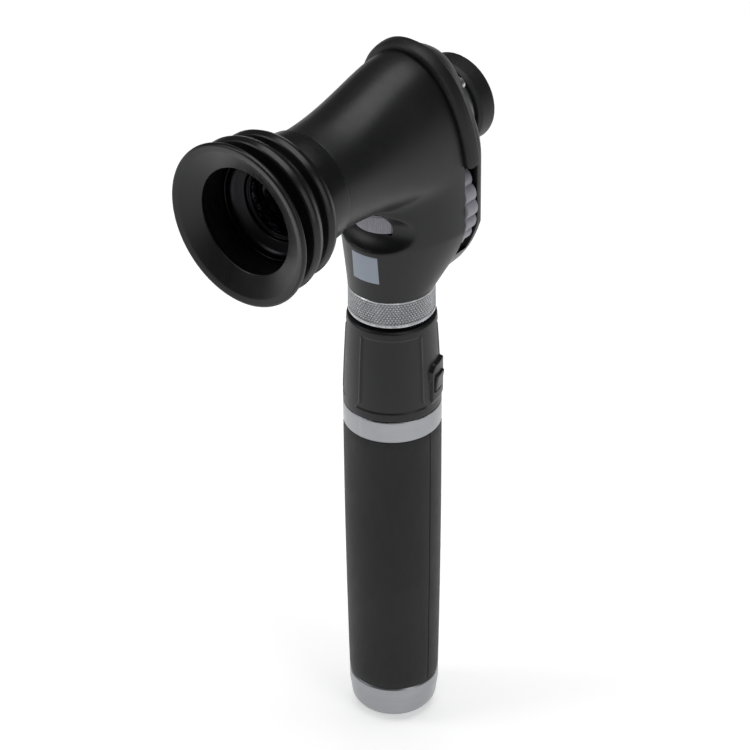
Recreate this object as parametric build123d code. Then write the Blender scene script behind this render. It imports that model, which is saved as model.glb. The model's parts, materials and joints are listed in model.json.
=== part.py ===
from build123d import *
from math import atan, cos, degrees, pi, sin, sqrt, tan, radians
import os

os.makedirs("parts", exist_ok=True)

# A hand-held wide-field ophthalmoscope. Millimetres. +Z runs up the handle from the centre of
# the cap it stands on, the patient's eyecup faces -Y, and the examiner's eyepiece faces +Y.

# ---- Overall sizes ----
cap_height = 13.3            # screwed base cap
grip_length = 94.5           # black two-part grip
ring_height = 7.2            # steel ring above the grip
sleeve_height = 31.1         # turning brightness sleeve
collar_gap = 1.3             # dark gap between sleeve and head collar
collar_height = 9.1          # knurled collar under the head
axis_height = 49.5           # optical axis above the collar
crown_height = 74.7          # top of the head above the collar

# ---- Handle radii ----
cap_radius = 13.98
cap_round = 6.8
grip_top_radius = 15.05
grip_mid_radius = 14.85
grip_low_radius = 13.95
ring_radius = 15.0
sleeve_low_radius = 15.0
sleeve_mid_radius = 14.6
sleeve_top_radius = 13.6
sleeve_wall_radius = 12.0    # inside of the sleeve
collar_radius = 13.2
tube_radius = 12.4
tube_wall = 1.0
post_radius = 7.5
post_bore = 5.5
rod_radius = 1.2             # centre contact rod
contact_proud = 0.6
post_lip = 0.5               # post above its lugs
ring_chamfer = 0.4
battery_round = 1.0
lug_radius = 9.0
lug_height = 2.0
lug_angle = 32.0
notch_angle = 42.0
lug_gap = 0.4
socket_gap = 0.7             # between the lugs and the room above the flange
flange_height = 2.9
collar_chamfer = 0.3
washer_radius = 5.0
washer_height = 2.0
battery_gap = 0.4            # radial, between the battery and the tube
battery_length = 70.0
spigot_length = 7.0          # plain spigot that stands for the cap's thread
socket_radius = 3.0          # charging socket in the base
socket_depth = 3.0
contact_radius = 2.2
cap_floor = 4.0              # between the socket and the spring's seat
spigot_wall = 2.2
spring_gap = 0.6
spring_radius = 6.5
spring_wire = 0.5
spring_turns = 4
plug_depth = 5.0
terminal_radius = 3.0
terminal_height = 1.5

# ---- Brightness sleeve ----
sleeve_bulge = 0.12          # how far the side bows outwards
sleeve_roof = 3.0
sleeve_round = 1.0
panel_angles = (-51, 69, 189)
panel_spread = 78.0
panel_depth = 0.5
panel_low = 2.8              # edge of the panels above the sleeve's foot
panel_high = 2.5             # and below its top
bush_height = 2.2
board_thickness = 1.4
board_gap = 0.8
arm_thickness = 1.0
arm_spread = 16.0
arm_gap = 1.2                # between the wiper arm and the post

# ---- Lock button ----
button_angle = 16.5
button_height = 9.8          # centre above the sleeve's lower edge
button_width = 5.0
button_length = 6.0
button_travel = 1.2
button_round = 0.6
button_slot_gap = 0.1
button_flange = 0.9          # thickness of the flange that keeps the button in
button_lip = 0.6             # how far the flange stands out around the button
button_flange_gap = 0.45
button_spring_radius = 1.6
button_spring_wire = 0.25
button_spring_turns = 3
tab_radius = 15.7
tab_angle = 29.0
tab_length = 14.0

# ---- Head shell ----
wall = 1.8
barrel_radius = 16.6
barrel_front = -38.0         # where the shell passes under the eyecup
spigot_front = -50.0
spigot_radius = 15.4
spigot_shell = 1.5           # wall of the barrel's spigot
parting_y = 10.5             # plane between front shell and rear cover
back_y = 20.0
half_width = 19.5
side_low = 19.2              # height above the collar where the sides start
side_high = 39.2             # height above the collar where the crown starts
chin_height = 30.0           # underside of the barrel at the parting plane
lower_reach = 25.2           # front-to-middle reach of the lower body
crown_swell = 0.70           # shoulder point of the crown, as a share of the half width
crown_rise = 0.76            # and as a share of the crown's height
knee_swell = 1.7             # how far the lower sides bow outwards
back_chamfer_height = 5.2
back_round = 2.4
crown_lean = 8.0             # degrees that the crown and its band lean forward
window_low = 9.2             # side windows that show the focus wheel
band_low = 40.7              # lower ends of the brow band
band_rear = 16.0
band_proud = 2.2
band_seat = 1.5
band_round = 1.8
flange_wall = 1.8
window_inner = 7.0           # half the solid strip between the two side windows
window_gap = 0.7             # behind the wheel
boss_radius = 2.4
screw_head_radius = 1.9
screw_shank_radius = 1.0
screw_head_height = 1.3
screw_head_sink = 0.2
screw_slot_width = 0.6
screw_slot_depth = 0.4

# ---- Aperture dial and its scoop ----
dial_gap = 0.24              # between the dial and the chassis plate
dial_radius = 9.3
dial_low = 22.6
dial_height = 6.25
scoop_centre_height = 24.2
scoop_pivot_y = 22.5
scoop_reach = 32.0           # from the pivot to the floor of the scoop
scoop_round = 6.9
dial_slot_gap = 0.35
dial_rim = 1.6
dial_hub = 2.6
dial_web_low = 2.2           # web that holds the apertures, above the dial's foot
dial_web = 1.6
aperture_circle = 5.0
apertures = (2.0, 1.5, 1.0, 0.6)
filter_radius = 1.9
pin_radius = 1.0
pin_proud = 0.4
bracket_radius = 3.4
bracket_bore = 2.3
bracket_thickness = 1.6
bracket_drop = 0.8           # lower bracket below the dial
bracket_rise = 0.6           # upper bracket above it
leaf_thickness = 0.3

# ---- Focus drive ----
wheel_height = 25.6
wheel_radius = 20.3
wheel_front = 11.0
wheel_rear = 15.8
wheel_gap = 0.4
wheel_rim = 3.5              # width of the rim around the wheel's hollow back
wheel_hollow = 1.6
wheel_hub = 4.0
lobes = 24
lobe_cut_radius = 1.9
lobe_depth = 1.0
axle_radius = 1.5
axle_proud = 0.5
gear_addendum = 0.8          # tooth above the pitch circle, in modules
gear_dedendum = 1.15
gear_module = 0.75
gear_teeth = 30
pinion_teeth = 12
pressure_angle = 25.0
gear_backlash = 0.16
gear_front = 8.6
gear_thickness = 2.2
screw_x = 8.0
screw_radius = 1.2
carriage_front = -15.5
carriage_thickness = 5.0
focus_lens_radius = 7.0
cell_wall = 1.2
nut_wall = 1.4
focus_lens_inset = 1.0
focus_lens_round = 0.9

# ---- Frame and optics ----
frame_gap = 0.4              # between the frame and the shell
plate_front = 6.6
plate_bore = 5.0
bulkhead_bore = 8.0
plate_thickness = 1.6
base_thickness = 3.2
bulkhead_front = -26.0
bulkhead_thickness = 2.0
lamp_radius = 4.2
lamp_length = 8.6
lamp_foot = 0.6              # lamp above the collar
bulb_radius = 1.8
bulb_height = 1.6
bulb_round = 1.4
condenser_radius = 3.5
holder_gap = 3.0             # between the lamp and the condenser's holder
holder_height = 6.0
holder_wall = 1.0
arm_half_width = 2.5
condenser_inset = 1.2
condenser_round = 0.8
objective_radius = 11.0
objective_front = -46.5
objective_thickness = 5.5
objective_round = 1.6
objective_shoulder = 3.5     # rear end of the tube, which the lens seats on
objective_bore = 9.5
objective_set_back = 2.0
retainer_bore = 10.4
retainer_chamfer = 0.8
eyepiece_radius = 12.3
eyepiece_cup_radius = 13.8
eyepiece_rear = 31.9
eyepiece_lens_radius = 8.0
eyepiece_step = 1.6          # the tube's neck is this much smaller than its flange
eyepiece_flange = 4.0
eyepiece_neck_length = 2.5
eyepiece_seat = 1.5          # radial step that the lens rests on
eyepiece_lens_round = 1.5
eyepiece_cup_rim = 1.6
eyepiece_cup_round = 0.6
mirror_width = 6.0
mirror_length = 6.6
mirror_thickness = 1.0
mirror_drop = 6.8            # middle of the mirror below the optical axis
cover_screw_x = 9.8
cover_screw_height = 62.0

# ---- Eyecup ----
lip_radius = 25.2
lip_front = -67.0
mouth_radius = 16.2
cup_bore = 17.0
lip_rear = -61.0
second_rib_radius = 24.0
third_rib_radius = 22.8
bellows_rear = -46.4
valley_radius = 18.8
collar_sleeve_radius = 17.4

# ---- Badge ----
badge_width = 9.0
badge_height = 9.3
badge_x = 1.3
badge_low = 6.6              # lower edge above the collar
badge_thickness = 0.25

# ---- Fits ----
running = 0.05               # radial, a turning or sliding fit
loose = 0.3                  # between soft or hidden neighbours
slip = 0.1                   # end gap between faces that turn on each other

# ---- Levels worked out from the sizes ----
ring_z = cap_height + grip_length
sleeve_z = ring_z + ring_height
sleeve_top = sleeve_z + sleeve_height
collar_z = sleeve_top + collar_gap
head_z = collar_z + collar_height
axis_z = head_z + axis_height
wheel_z = head_z + wheel_height
dial_z = head_z + dial_low
gear_gap = gear_module * (gear_teeth + pinion_teeth) / 2
screw_z = wheel_z + sqrt(gear_gap**2 - screw_x**2)
dial_y = plate_front - dial_gap - dial_radius
lamp_y = dial_y + aperture_circle
tube_bore = tube_radius - tube_wall
battery_radius = tube_bore - battery_gap
plate_rear = plate_front + plate_thickness
spigot_bore = spigot_radius - spigot_shell
eyepiece_neck = eyepiece_radius - eyepiece_step
flange_z = collar_z + flange_height
lug_z = flange_z + slip
post_top = lug_z + lug_height + post_lip
plug_low = ring_z - plug_depth
battery_top = plug_low - 2 * terminal_height
battery_low = battery_top - battery_length
button_reach = tab_radius + button_travel / 2
FLOOR = (Align.CENTER, Align.CENTER, Align.MIN)


def save(shape, node):
    export_step(shape, f"parts/{node}.step")


def rod_z(radius, low, high, x=0.0, y=0.0):
    return Pos(x, y, low) * Cylinder(radius, high - low, align=FLOOR)


def rod_y(radius, front, rear, x=0.0, z=axis_z):
    return Pos(x, front, z) * Rot(-90, 0, 0) * Cylinder(radius, rear - front, align=FLOOR)


def block(x_low, x_high, y_low, y_high, z_low, z_high):
    size = (x_high - x_low, y_high - y_low, z_high - z_low)
    centre = ((x_low + x_high) / 2, (y_low + y_high) / 2, (z_low + z_high) / 2)
    return Pos(*centre) * Box(*size)


def lean(shape):
    """Tips a shape forward about the level where the crown starts."""
    level = head_z + side_high
    return Pos(0, parting_y, level) * Rot(crown_lean, 0, 0) * Pos(0, -parting_y, -level) * shape


def cross_plane(y):
    """Plane across the head at one depth, with X to the right and Z up."""
    return Plane(origin=(0, y, 0), x_dir=(1, 0, 0), z_dir=(0, -1, 0))


def turned_z(*edges):
    """Solid turned about the handle's axis from a closed profile of radius and height."""
    return revolve(Plane.XZ * make_face(Curve() + list(edges)), Axis.Z)


def turned_y(*edges):
    """Solid turned about the optical axis from a closed profile of radius and depth."""
    return Pos(0, 0, axis_z) * revolve(make_face(Curve() + list(edges)), Axis.Y)


def coil_spring(mean_radius, wire_radius, length, pitch):
    path = Helix(pitch=pitch, height=length, radius=mean_radius)
    section = Plane(path @ 0, z_dir=path % 0) * Circle(wire_radius)
    return sweep(section, path=path)


# ---- Handle ----
def grip_sleeve():
    profile = [
        ThreePointArc(
            (grip_low_radius, cap_height + slip),
            (grip_mid_radius, (cap_height + ring_z) / 2),
            (grip_top_radius, ring_z),
        ),
        Polyline(
            (grip_top_radius, ring_z),
            (tube_radius, ring_z),
            (tube_radius, cap_height + slip),
            (grip_low_radius, cap_height + slip),
        ),
    ]
    return turned_z(*profile)


def make_grip():
    sleeve = grip_sleeve()
    reach = 2 * grip_top_radius
    front_half = block(-reach, reach, -reach, 0, 0, ring_z + 1)
    rear_half = block(-reach, reach, 0, reach, 0, ring_z + 1)
    save(sleeve & front_half, "grip_shell_front")
    save(sleeve & rear_half, "grip_shell_rear")


def make_handle_core():
    tube = rod_z(tube_radius, cap_height + slip, sleeve_z) - rod_z(tube_bore, 0, sleeve_z)
    save(tube, "handle_tube")
    ring = rod_z(ring_radius, ring_z, sleeve_z) - rod_z(tube_radius, ring_z, sleeve_z)
    rims = ring.edges().filter_by(GeomType.CIRCLE).filter_by(lambda e: e.radius > tube_radius + 1)
    save(chamfer(rims, ring_chamfer), "trim_ring")
    plug = rod_z(tube_bore, plug_low, sleeve_z) - rod_z(post_bore, plug_low, sleeve_z)
    save(plug, "handle_plug")


def make_post():
    post = rod_z(post_radius, sleeve_z, post_top) - rod_z(post_bore, sleeve_z, post_top)
    lug_ring = rod_z(lug_radius, lug_z, lug_z + lug_height) - rod_z(post_bore, lug_z, post_top)
    for side in (0, 180):
        wedge = sector(lug_radius + 1, side, lug_angle, lug_z, lug_z + lug_height)
        post += lug_ring & wedge
    save(post, "bayonet_post")
    insulator = rod_z(post_bore, plug_low, post_top) - rod_z(rod_radius, plug_low, post_top)
    save(insulator, "post_insulator")
    contact_low = battery_top + terminal_height + slip
    save(rod_z(rod_radius, contact_low, post_top + contact_proud), "post_contact")


def sector(radius, middle_angle, spread, low, high):
    """Pie-slice prism about the handle's axis."""
    start = radians(middle_angle - spread / 2)
    middle = radians(middle_angle)
    end = radians(middle_angle + spread / 2)
    rim = [(radius * cos(a), radius * sin(a)) for a in (start, middle, end)]
    outline = Line((0, 0), rim[0]) + ThreePointArc(*rim) + Line(rim[2], (0, 0))
    return Pos(0, 0, low) * extrude(make_face(outline), amount=high - low)


# ---- Battery and base cap ----
def make_battery():
    can = rod_z(battery_radius, battery_low, battery_top)
    save(fillet(can.edges().filter_by(GeomType.CIRCLE), battery_round), "battery_cell")
    save(rod_z(terminal_radius, battery_top, battery_top + terminal_height), "battery_terminal")


def make_base_cap():
    seat_z = socket_depth + cap_floor
    spigot_top = cap_height + spigot_length
    cap = fillet(rod_z(cap_radius, 0, cap_height).edges().group_by(Axis.Z)[0], cap_round)
    cap += rod_z(tube_bore - running, cap_height, spigot_top)
    cap -= rod_z(tube_bore - running - spigot_wall, seat_z, spigot_top)
    cap -= rod_z(socket_radius, 0, socket_depth)
    cap -= rod_z(contact_radius, 0, seat_z)
    save(cap, "base_cap")
    save(rod_z(contact_radius, socket_depth + slip, seat_z), "charge_contact")
    spring_low = seat_z + spring_gap
    spring_length = battery_low - spring_gap - spring_low
    spring = coil_spring(spring_radius, spring_wire, spring_length, spring_length / spring_turns)
    save(Pos(0, 0, spring_low) * spring, "cap_spring")


# ---- Brightness sleeve ----
def sleeve_profile(inset, low, high):
    """Face between the sleeve's outside, moved inwards by inset, and a radius far outside."""
    far = sleeve_low_radius + 5
    return [
        ThreePointArc(
            (sleeve_low_radius - inset, low),
            (sleeve_mid_radius - inset + sleeve_bulge, low + 0.5 * (high - low)),
            (sleeve_top_radius - inset, high),
        ),
        Polyline(
            (sleeve_top_radius - inset, high), (far, high), (far, low), (sleeve_low_radius - inset, low),
        ),
    ]


def make_sleeve():
    low = sleeve_z + slip
    body = rod_z(sleeve_low_radius + 2, low, sleeve_top) - turned_z(*sleeve_profile(0, low, sleeve_top))
    body -= rod_z(sleeve_wall_radius, low, sleeve_top - sleeve_roof)
    body -= rod_z(post_radius + running, low, sleeve_top)
    body = fillet(body.edges().group_by(Axis.Z)[-1].sort_by(SortBy.RADIUS)[-1], sleeve_round)
    recess = turned_z(*sleeve_profile(panel_depth, low, sleeve_top))
    far = sleeve_low_radius + 4
    for middle in panel_angles:
        body -= recess & sector(far, middle, panel_spread, low + panel_low, sleeve_top - panel_high)
    middle_z = sleeve_z + button_height
    half = tab_length / 2
    tab = sector(tab_radius, button_angle, tab_angle, middle_z - half, middle_z + half)
    body += tab - rod_z(sleeve_wall_radius + 1, low, sleeve_top)
    body -= button_block(button_slot_gap, sleeve_wall_radius - 1, tab_radius + 2, middle_z)
    save(body, "rheostat_sleeve")
    bush_top = low + bush_height
    bush = rod_z(sleeve_wall_radius, low, bush_top) - rod_z(post_radius + running, low, bush_top)
    save(bush, "sleeve_bush")
    board_z = bush_top + loose
    board_top = board_z + board_thickness
    board = rod_z(sleeve_wall_radius - board_gap, board_z, board_top)
    save(board - rod_z(post_radius, board_z, board_top), "rheostat_board")
    arm_z = board_top + loose
    arm_top = arm_z + arm_thickness
    arm = sector(sleeve_wall_radius, 180, arm_spread, arm_z, arm_top)
    save(arm - rod_z(post_radius + arm_gap, arm_z, arm_top), "wiper_arm")


def button_block(spread, inner, outer, middle_z):
    size = (outer - inner, button_width + 2 * spread, button_length + 2 * spread)
    centred = Pos((inner + outer) / 2, 0, middle_z) * Box(*size)
    return Rot(0, 0, button_angle) * centred


def make_button():
    middle_z = sleeve_z + button_height
    flange_outer = sleeve_wall_radius - button_flange_gap
    flange_inner = flange_outer - button_flange
    key = button_block(0, flange_outer - 0.2, button_reach, middle_z)
    outer_face = key.faces().sort_by(Axis.X)[-1]
    key = fillet(outer_face.edges(), button_round)
    flange = button_block(button_lip, flange_inner, flange_outer, middle_z)
    save(key + flange, "lock_button")
    seat_radius = post_radius + loose + 0.5
    length = flange_inner - loose - 0.5 - seat_radius
    spring = coil_spring(button_spring_radius, button_spring_wire, length, length / button_spring_turns)
    seat = Rot(0, 0, button_angle) * Pos(seat_radius, 0, middle_z) * Rot(0, 90, 0)
    save(seat * spring, "button_spring")


# ---- Head collar and contacts ----
def make_collar():
    collar = rod_z(collar_radius, collar_z, head_z) - rod_z(lug_radius + socket_gap, flange_z, head_z)
    collar -= rod_z(post_radius + running, collar_z, head_z)
    for side in (90, 270):
        collar -= sector(lug_radius + lug_gap, side, notch_angle, collar_z, flange_z)
    rims = collar.edges().filter_by(GeomType.CIRCLE).filter_by(lambda e: e.radius > collar_radius - 0.1)
    save(chamfer(rims, collar_chamfer), "socket_ring")
    washer_low = head_z - washer_height
    washer = rod_z(washer_radius, washer_low, head_z) - rod_z(rod_radius, washer_low, head_z)
    save(washer, "contact_insulator")
    save(rod_z(rod_radius, post_top + contact_proud + slip, head_z + contact_proud), "head_contact_pin")


# ---- Head form ----
def barrel_form(inset):
    """Barrel that grows from the eyecup's circle to the tall crown at the parting plane."""
    r = barrel_radius - inset
    ring = ThreePointArc((-r, axis_z), (0, axis_z + r), (r, axis_z))
    ring += ThreePointArc((r, axis_z), (0, axis_z - r), (-r, axis_z))
    crown = crown_edges(inset)
    form = loft([
        cross_plane(barrel_front) * make_face(ring),
        lean(cross_plane(parting_y) * make_face(crown[0] + crown[1])),
    ], ruled=True)
    return form & block(-40, 40, barrel_front, parting_y, head_z, head_z + 2 * crown_height)


def crown_edges(inset):
    w = half_width - inset
    low = head_z + side_high
    top = head_z + crown_height - inset
    shoulder = (crown_swell * w, low + crown_rise * (top - low))
    upper = Spline(
        (-w, low), (-shoulder[0], shoulder[1]), (0, top), shoulder, (w, low),
        tangents=((0, 1), (0, -1)),
    )
    lower = Spline((w, low), (0, head_z + chin_height + inset), (-w, low), tangents=((0, -1), (0, 1)))
    return upper, lower


def lower_form(inset):
    """Lower body that grows from the round neck to the wide flat sides."""
    wide = Ellipse(half_width - inset, lower_reach - inset)
    neck = Pos(0, 0, head_z) * Circle(collar_radius - inset)
    belt = Pos(0, parting_y, head_z + side_low) * wide
    form = loft([neck, belt], ruled=True)
    form += extrude(belt, amount=side_high - side_low)
    return form & block(-40, 40, -40, parting_y, head_z, head_z + side_high)


def head_form(inset):
    return barrel_form(inset) + lower_form(inset)


def scoop(growth):
    ring = Torus(scoop_reach + scoop_round, scoop_round + growth)
    return Pos(0, scoop_pivot_y, head_z + scoop_centre_height) * ring


def make_front_shell():
    outer = head_form(0) - scoop(0)
    inner = head_form(wall) - scoop(wall)
    shell = outer - inner
    shell += rod_y(spigot_radius, spigot_front, barrel_front)
    shell -= rod_y(spigot_bore, spigot_front, barrel_front + 0.5)
    slot_low = dial_z - dial_slot_gap
    slot_high = dial_z + dial_height + dial_slot_gap
    shell -= rod_z(dial_radius + dial_slot_gap, slot_low, slot_high, y=dial_y)
    save(shell, "front_shell")


def back_outline(growth):
    """Outline of the head behind the parting plane, moved outwards by growth."""
    upper = crown_edges(-growth)[0]
    foot = sqrt(collar_radius**2 - parting_y**2)
    run = half_width - foot
    slope = sqrt(run**2 + side_low**2)
    hip = (half_width + growth, head_z + side_low)
    knee_x = (half_width + foot) / 2 + knee_swell + growth * side_low / slope
    knee_z = head_z + side_low / 2 - growth * run / slope
    toe = (foot + growth * (slope - run) / side_low, head_z - growth)
    outline = upper
    for side, end in ((1, upper @ 1), (-1, upper @ 0)):
        outline += Line(end, (side * hip[0], hip[1]))
        outline += ThreePointArc((side * hip[0], hip[1]), (side * knee_x, knee_z), (side * toe[0], toe[1]))
    return make_face(outline + Line(toe, (-toe[0], toe[1])))


def back_slab(growth, front, rear):
    return extrude(cross_plane(front) * back_outline(growth), amount=-(rear - front))


def side_plane():
    """Plane along the head, with Y to the right and Z up."""
    return Plane(origin=(-40, 0, 0), x_dir=(0, 1, 0), z_dir=(1, 0, 0))


def front_space():
    """Everything in front of the parting plane, which leans forward beside the crown."""
    level = head_z + side_high
    rise = 2 * (crown_height - side_high)
    reach = rise * tan(radians(crown_lean))
    outline = Polyline(
        (-60, head_z - 30), (parting_y, head_z - 30), (parting_y, level),
        (parting_y - reach, level + rise), (-60, level + rise), close=True,
    )
    return extrude(side_plane() * make_face(outline), amount=80)


def arch_slab(growth, front, rear):
    """Slab of the crown alone, moved outwards by growth."""
    upper = crown_edges(-growth)[0]
    face = make_face(upper + Line(upper @ 1, upper @ 0))
    return extrude(cross_plane(front) * face, amount=-(rear - front))


def back_wedge(inset):
    """Everything below the sloping foot of the rear cover."""
    rise = back_chamfer_height
    run = back_y - collar_radius
    lift = inset * sqrt(rise**2 + run**2) / run
    corner = (collar_radius, head_z + lift)
    outline = Polyline(
        (corner[0] - run, corner[1] - rise), (corner[0] + 2 * run, corner[1] + 2 * rise),
        (corner[0] + 2 * run, head_z - 30), (corner[0] - run, head_z - 30), close=True,
    )
    return extrude(side_plane() * make_face(outline), amount=80)


def make_rear_cover():
    band_z = head_z + band_low
    front = parting_y - (crown_height - side_high) * tan(radians(crown_lean)) - 1
    body = back_slab(0, front, back_y)
    body = fillet(body.edges().filter_by(lambda e: e.center().Y > back_y - 0.1), back_round)
    body -= back_wedge(0)
    tall = block(-40, 40, -40, 60, band_z, band_z + 80)
    body -= back_slab(-wall, front, back_y - wall) - tall - back_wedge(wall)
    body -= arch_slab(-band_seat - flange_wall, front, back_y - wall) & tall
    groove = arch_slab(5, parting_y - 2, band_rear + slip) - arch_slab(-band_seat, parting_y - 2, back_y)
    body -= lean(groove) & tall
    body -= front_space()
    for x_low, x_high in ((-40, -window_inner), (window_inner, 40)):
        body -= block(x_low, x_high, parting_y - 1, wheel_rear + window_gap, head_z + window_low, band_z)
    for x, z in screw_places():
        body += rod_y(boss_radius, plate_rear, back_y - wall, x, z)
        body -= rod_y(screw_shank_radius, plate_rear, back_y, x, z)
        body -= rod_y(screw_head_radius, back_y - screw_head_height - screw_head_sink, back_y, x, z)
    body -= rod_y(wheel_radius + wheel_gap, front, wheel_rear + wheel_gap, 0, wheel_z)
    body -= rod_y(eyepiece_neck, parting_y, back_y)
    save(body, "rear_cover")


def screw_places():
    return [(side * cover_screw_x, head_z + cover_screw_height) for side in (-1, 1)]


def make_band():
    outer = arch_slab(band_proud, parting_y + slip, band_rear)
    rims = outer.edges().filter_by(lambda e: e.center().Z > head_z + side_high + 5)
    band = fillet(rims, band_round) - arch_slab(-band_seat, parting_y, back_y)
    above = block(-40, 40, -40, 40, head_z + band_low + slip, head_z + 2 * crown_height)
    save(lean(band) & above, "brow_band")


def make_cover_screws():
    screws = []
    for x, z in screw_places():
        rear = back_y - screw_head_sink
        head = rod_y(screw_head_radius, rear - screw_head_height, rear, x, z)
        half = screw_slot_width / 2
        ends = (z - screw_head_radius, z + screw_head_radius)
        slot = block(x - half, x + half, rear - screw_slot_depth, back_y, *ends)
        shank = rod_y(screw_shank_radius, plate_front - 1, rear - screw_head_height, x, z)
        screws.append(head - slot + shank)
    save(Compound(children=screws), "cover_screws")


# ---- Frame inside the head ----
def make_frame():
    gap = wall + frame_gap
    base = rod_z(collar_radius - gap, head_z, head_z + base_thickness)
    base -= rod_z(lamp_radius + running, head_z, head_z + base_thickness, y=lamp_y)
    base -= block(-half_width, half_width, plate_front, back_y, head_z, head_z + base_thickness)
    save(base, "chassis_base")
    slab = block(-40, 40, plate_front, plate_rear, head_z, head_z + crown_height - gap)
    plate = head_form(gap) & slab
    plate -= rod_y(plate_bore, plate_front, plate_rear)
    plate -= rod_y(axle_radius, plate_front, plate_rear, 0, wheel_z)
    plate -= rod_y(screw_radius + running, plate_front, plate_rear, screw_x, screw_z)
    plate -= rod_y(screw_radius, plate_front, plate_rear, -screw_x, screw_z)
    for x, z in screw_places():
        plate -= rod_y(screw_shank_radius, plate_front, plate_rear, x, z)
    save(plate, "chassis_plate")
    rear = bulkhead_front + bulkhead_thickness
    slab = block(-40, 40, bulkhead_front, rear, head_z, head_z + crown_height)
    bulkhead = (barrel_form(gap) & slab) - scoop(gap)
    bulkhead -= rod_y(bulkhead_bore, bulkhead_front, rear)
    bulkhead -= rod_y(screw_radius + running, bulkhead_front, rear, screw_x, screw_z)
    bulkhead -= rod_y(screw_radius, bulkhead_front, rear, -screw_x, screw_z)
    save(bulkhead, "front_bulkhead")
    save(rod_y(screw_radius, bulkhead_front, plate_rear, -screw_x, screw_z), "guide_rod")


def make_lamp():
    low = head_z + lamp_foot
    high = low + lamp_length
    save(rod_z(lamp_radius, low, high, y=lamp_y), "lamp_module")
    bulb = rod_z(bulb_radius, high, high + bulb_height, y=lamp_y)
    save(fillet(bulb.edges().group_by(Axis.Z)[-1], bulb_round), "lamp_bulb")
    holder_low = high + holder_gap
    holder_high = holder_low + holder_height
    holder = rod_z(condenser_radius + holder_wall, holder_low, holder_high, y=lamp_y)
    holder += block(-arm_half_width, arm_half_width, lamp_y, plate_front, holder_low, holder_high)
    holder -= rod_z(condenser_radius, holder_low, holder_high, y=lamp_y)
    save(holder, "condenser_holder")
    lens = rod_z(condenser_radius, holder_low + condenser_inset, holder_high - condenser_inset, y=lamp_y)
    save(fillet(lens.edges().filter_by(GeomType.CIRCLE), condenser_round), "condenser_lens")


def make_mirror():
    middle_z = axis_z - mirror_drop
    half = mirror_length / 2
    face = Pos(0, lamp_y, middle_z) * Rot(-45, 0, 0)
    glass = face * Box(mirror_width, mirror_length, mirror_thickness, align=FLOOR)
    save(glass, "mirror")
    reach = half * cos(radians(45))
    back = mirror_thickness * cos(radians(45))
    top = (lamp_y + back - reach, middle_z + back + reach)
    low = (min(lamp_y + back + reach, plate_front), middle_z + back - reach)
    outline = Polyline(top, low, (plate_front, low[1]), (plate_front, top[1]), close=True)
    side = Plane(origin=(-mirror_width / 2, 0, 0), x_dir=(0, 1, 0), z_dir=(1, 0, 0))
    save(extrude(side * make_face(outline), amount=mirror_width), "mirror_bracket")


# ---- Aperture dial ----
def make_dial():
    high = dial_z + dial_height
    web_low = dial_z + dial_web_low
    web_high = web_low + dial_web
    dial = rod_z(dial_radius, dial_z, high)
    for low, top in ((dial_z, web_low), (web_high, high)):
        dial -= rod_z(dial_radius - dial_rim, low, top) - rod_z(dial_hub, low, top)
    dial -= rod_z(pin_radius + running, dial_z, high)
    holes = (*apertures, filter_radius)
    for step, hole in enumerate(holes):
        angle = radians(90 + 360 * step / len(holes))
        x, y = aperture_circle * cos(angle), aperture_circle * sin(angle)
        dial -= rod_z(hole, web_low, web_high, x, y)
    save(Pos(0, dial_y, 0) * dial, "aperture_dial")
    save(rod_z(filter_radius, web_low, web_high, x, y + dial_y), "green_filter")
    arm_low = dial_z - bracket_drop
    arm_high = high + bracket_rise
    pin_low = arm_low - bracket_thickness - pin_proud
    save(rod_z(pin_radius, pin_low, arm_high + bracket_thickness + pin_proud, y=dial_y), "dial_pin")
    arms = []
    for low, top in ((arm_low - bracket_thickness, arm_low), (arm_high, arm_high + bracket_thickness)):
        arm = block(-bracket_radius, bracket_radius, dial_y, plate_front, low, top)
        arm += rod_z(bracket_radius, low, top, y=dial_y)
        arm -= rod_z(pin_radius, low, top, y=dial_y)
        arms.append(arm - rod_z(bracket_bore, low, top, y=lamp_y))
    save(Compound(children=arms), "dial_brackets")
    leaf = block(-3.0, -1.8, dial_y - 3, dial_y + 3, arm_low, arm_low + leaf_thickness)
    save(leaf, "dial_detent_spring")


# ---- Focus drive ----
def gear_face(teeth, turn):
    """Involute gear outline, with one tooth centred on the angle turn, in degrees."""
    pitch_radius = gear_module * teeth / 2
    base_radius = pitch_radius * cos(radians(pressure_angle))
    tip_radius = pitch_radius + gear_addendum * gear_module
    root_radius = pitch_radius - gear_dedendum * gear_module
    involute = tan(radians(pressure_angle)) - radians(pressure_angle)
    half_tooth = pi / (2 * teeth) - gear_backlash / (2 * pitch_radius) + involute
    start_radius = max(base_radius, root_radius)
    flank = []
    for step in range(5):
        radius = start_radius + (tip_radius - start_radius) * step / 4
        roll = sqrt(max(radius**2 / base_radius**2 - 1, 0))
        flank.append((radius, half_tooth - (roll - atan(roll))))
    points = []
    for tooth in range(teeth):
        middle = radians(turn) + 2 * pi * tooth / teeth
        edge = [(root_radius, half_tooth)] + flank if base_radius > root_radius else flank
        points += [(r * cos(middle - a), r * sin(middle - a)) for r, a in edge]
        points += [(r * cos(middle + a), r * sin(middle + a)) for r, a in reversed(edge)]
    return make_face(Polyline(*points, close=True))


def gear_solid(teeth, turn, x, z, bore):
    rear = gear_front + gear_thickness
    blank = extrude(cross_plane(gear_front) * Pos(x, z) * gear_face(teeth, turn), amount=-gear_thickness)
    return blank - rod_y(bore, gear_front, rear, x, z)


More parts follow.
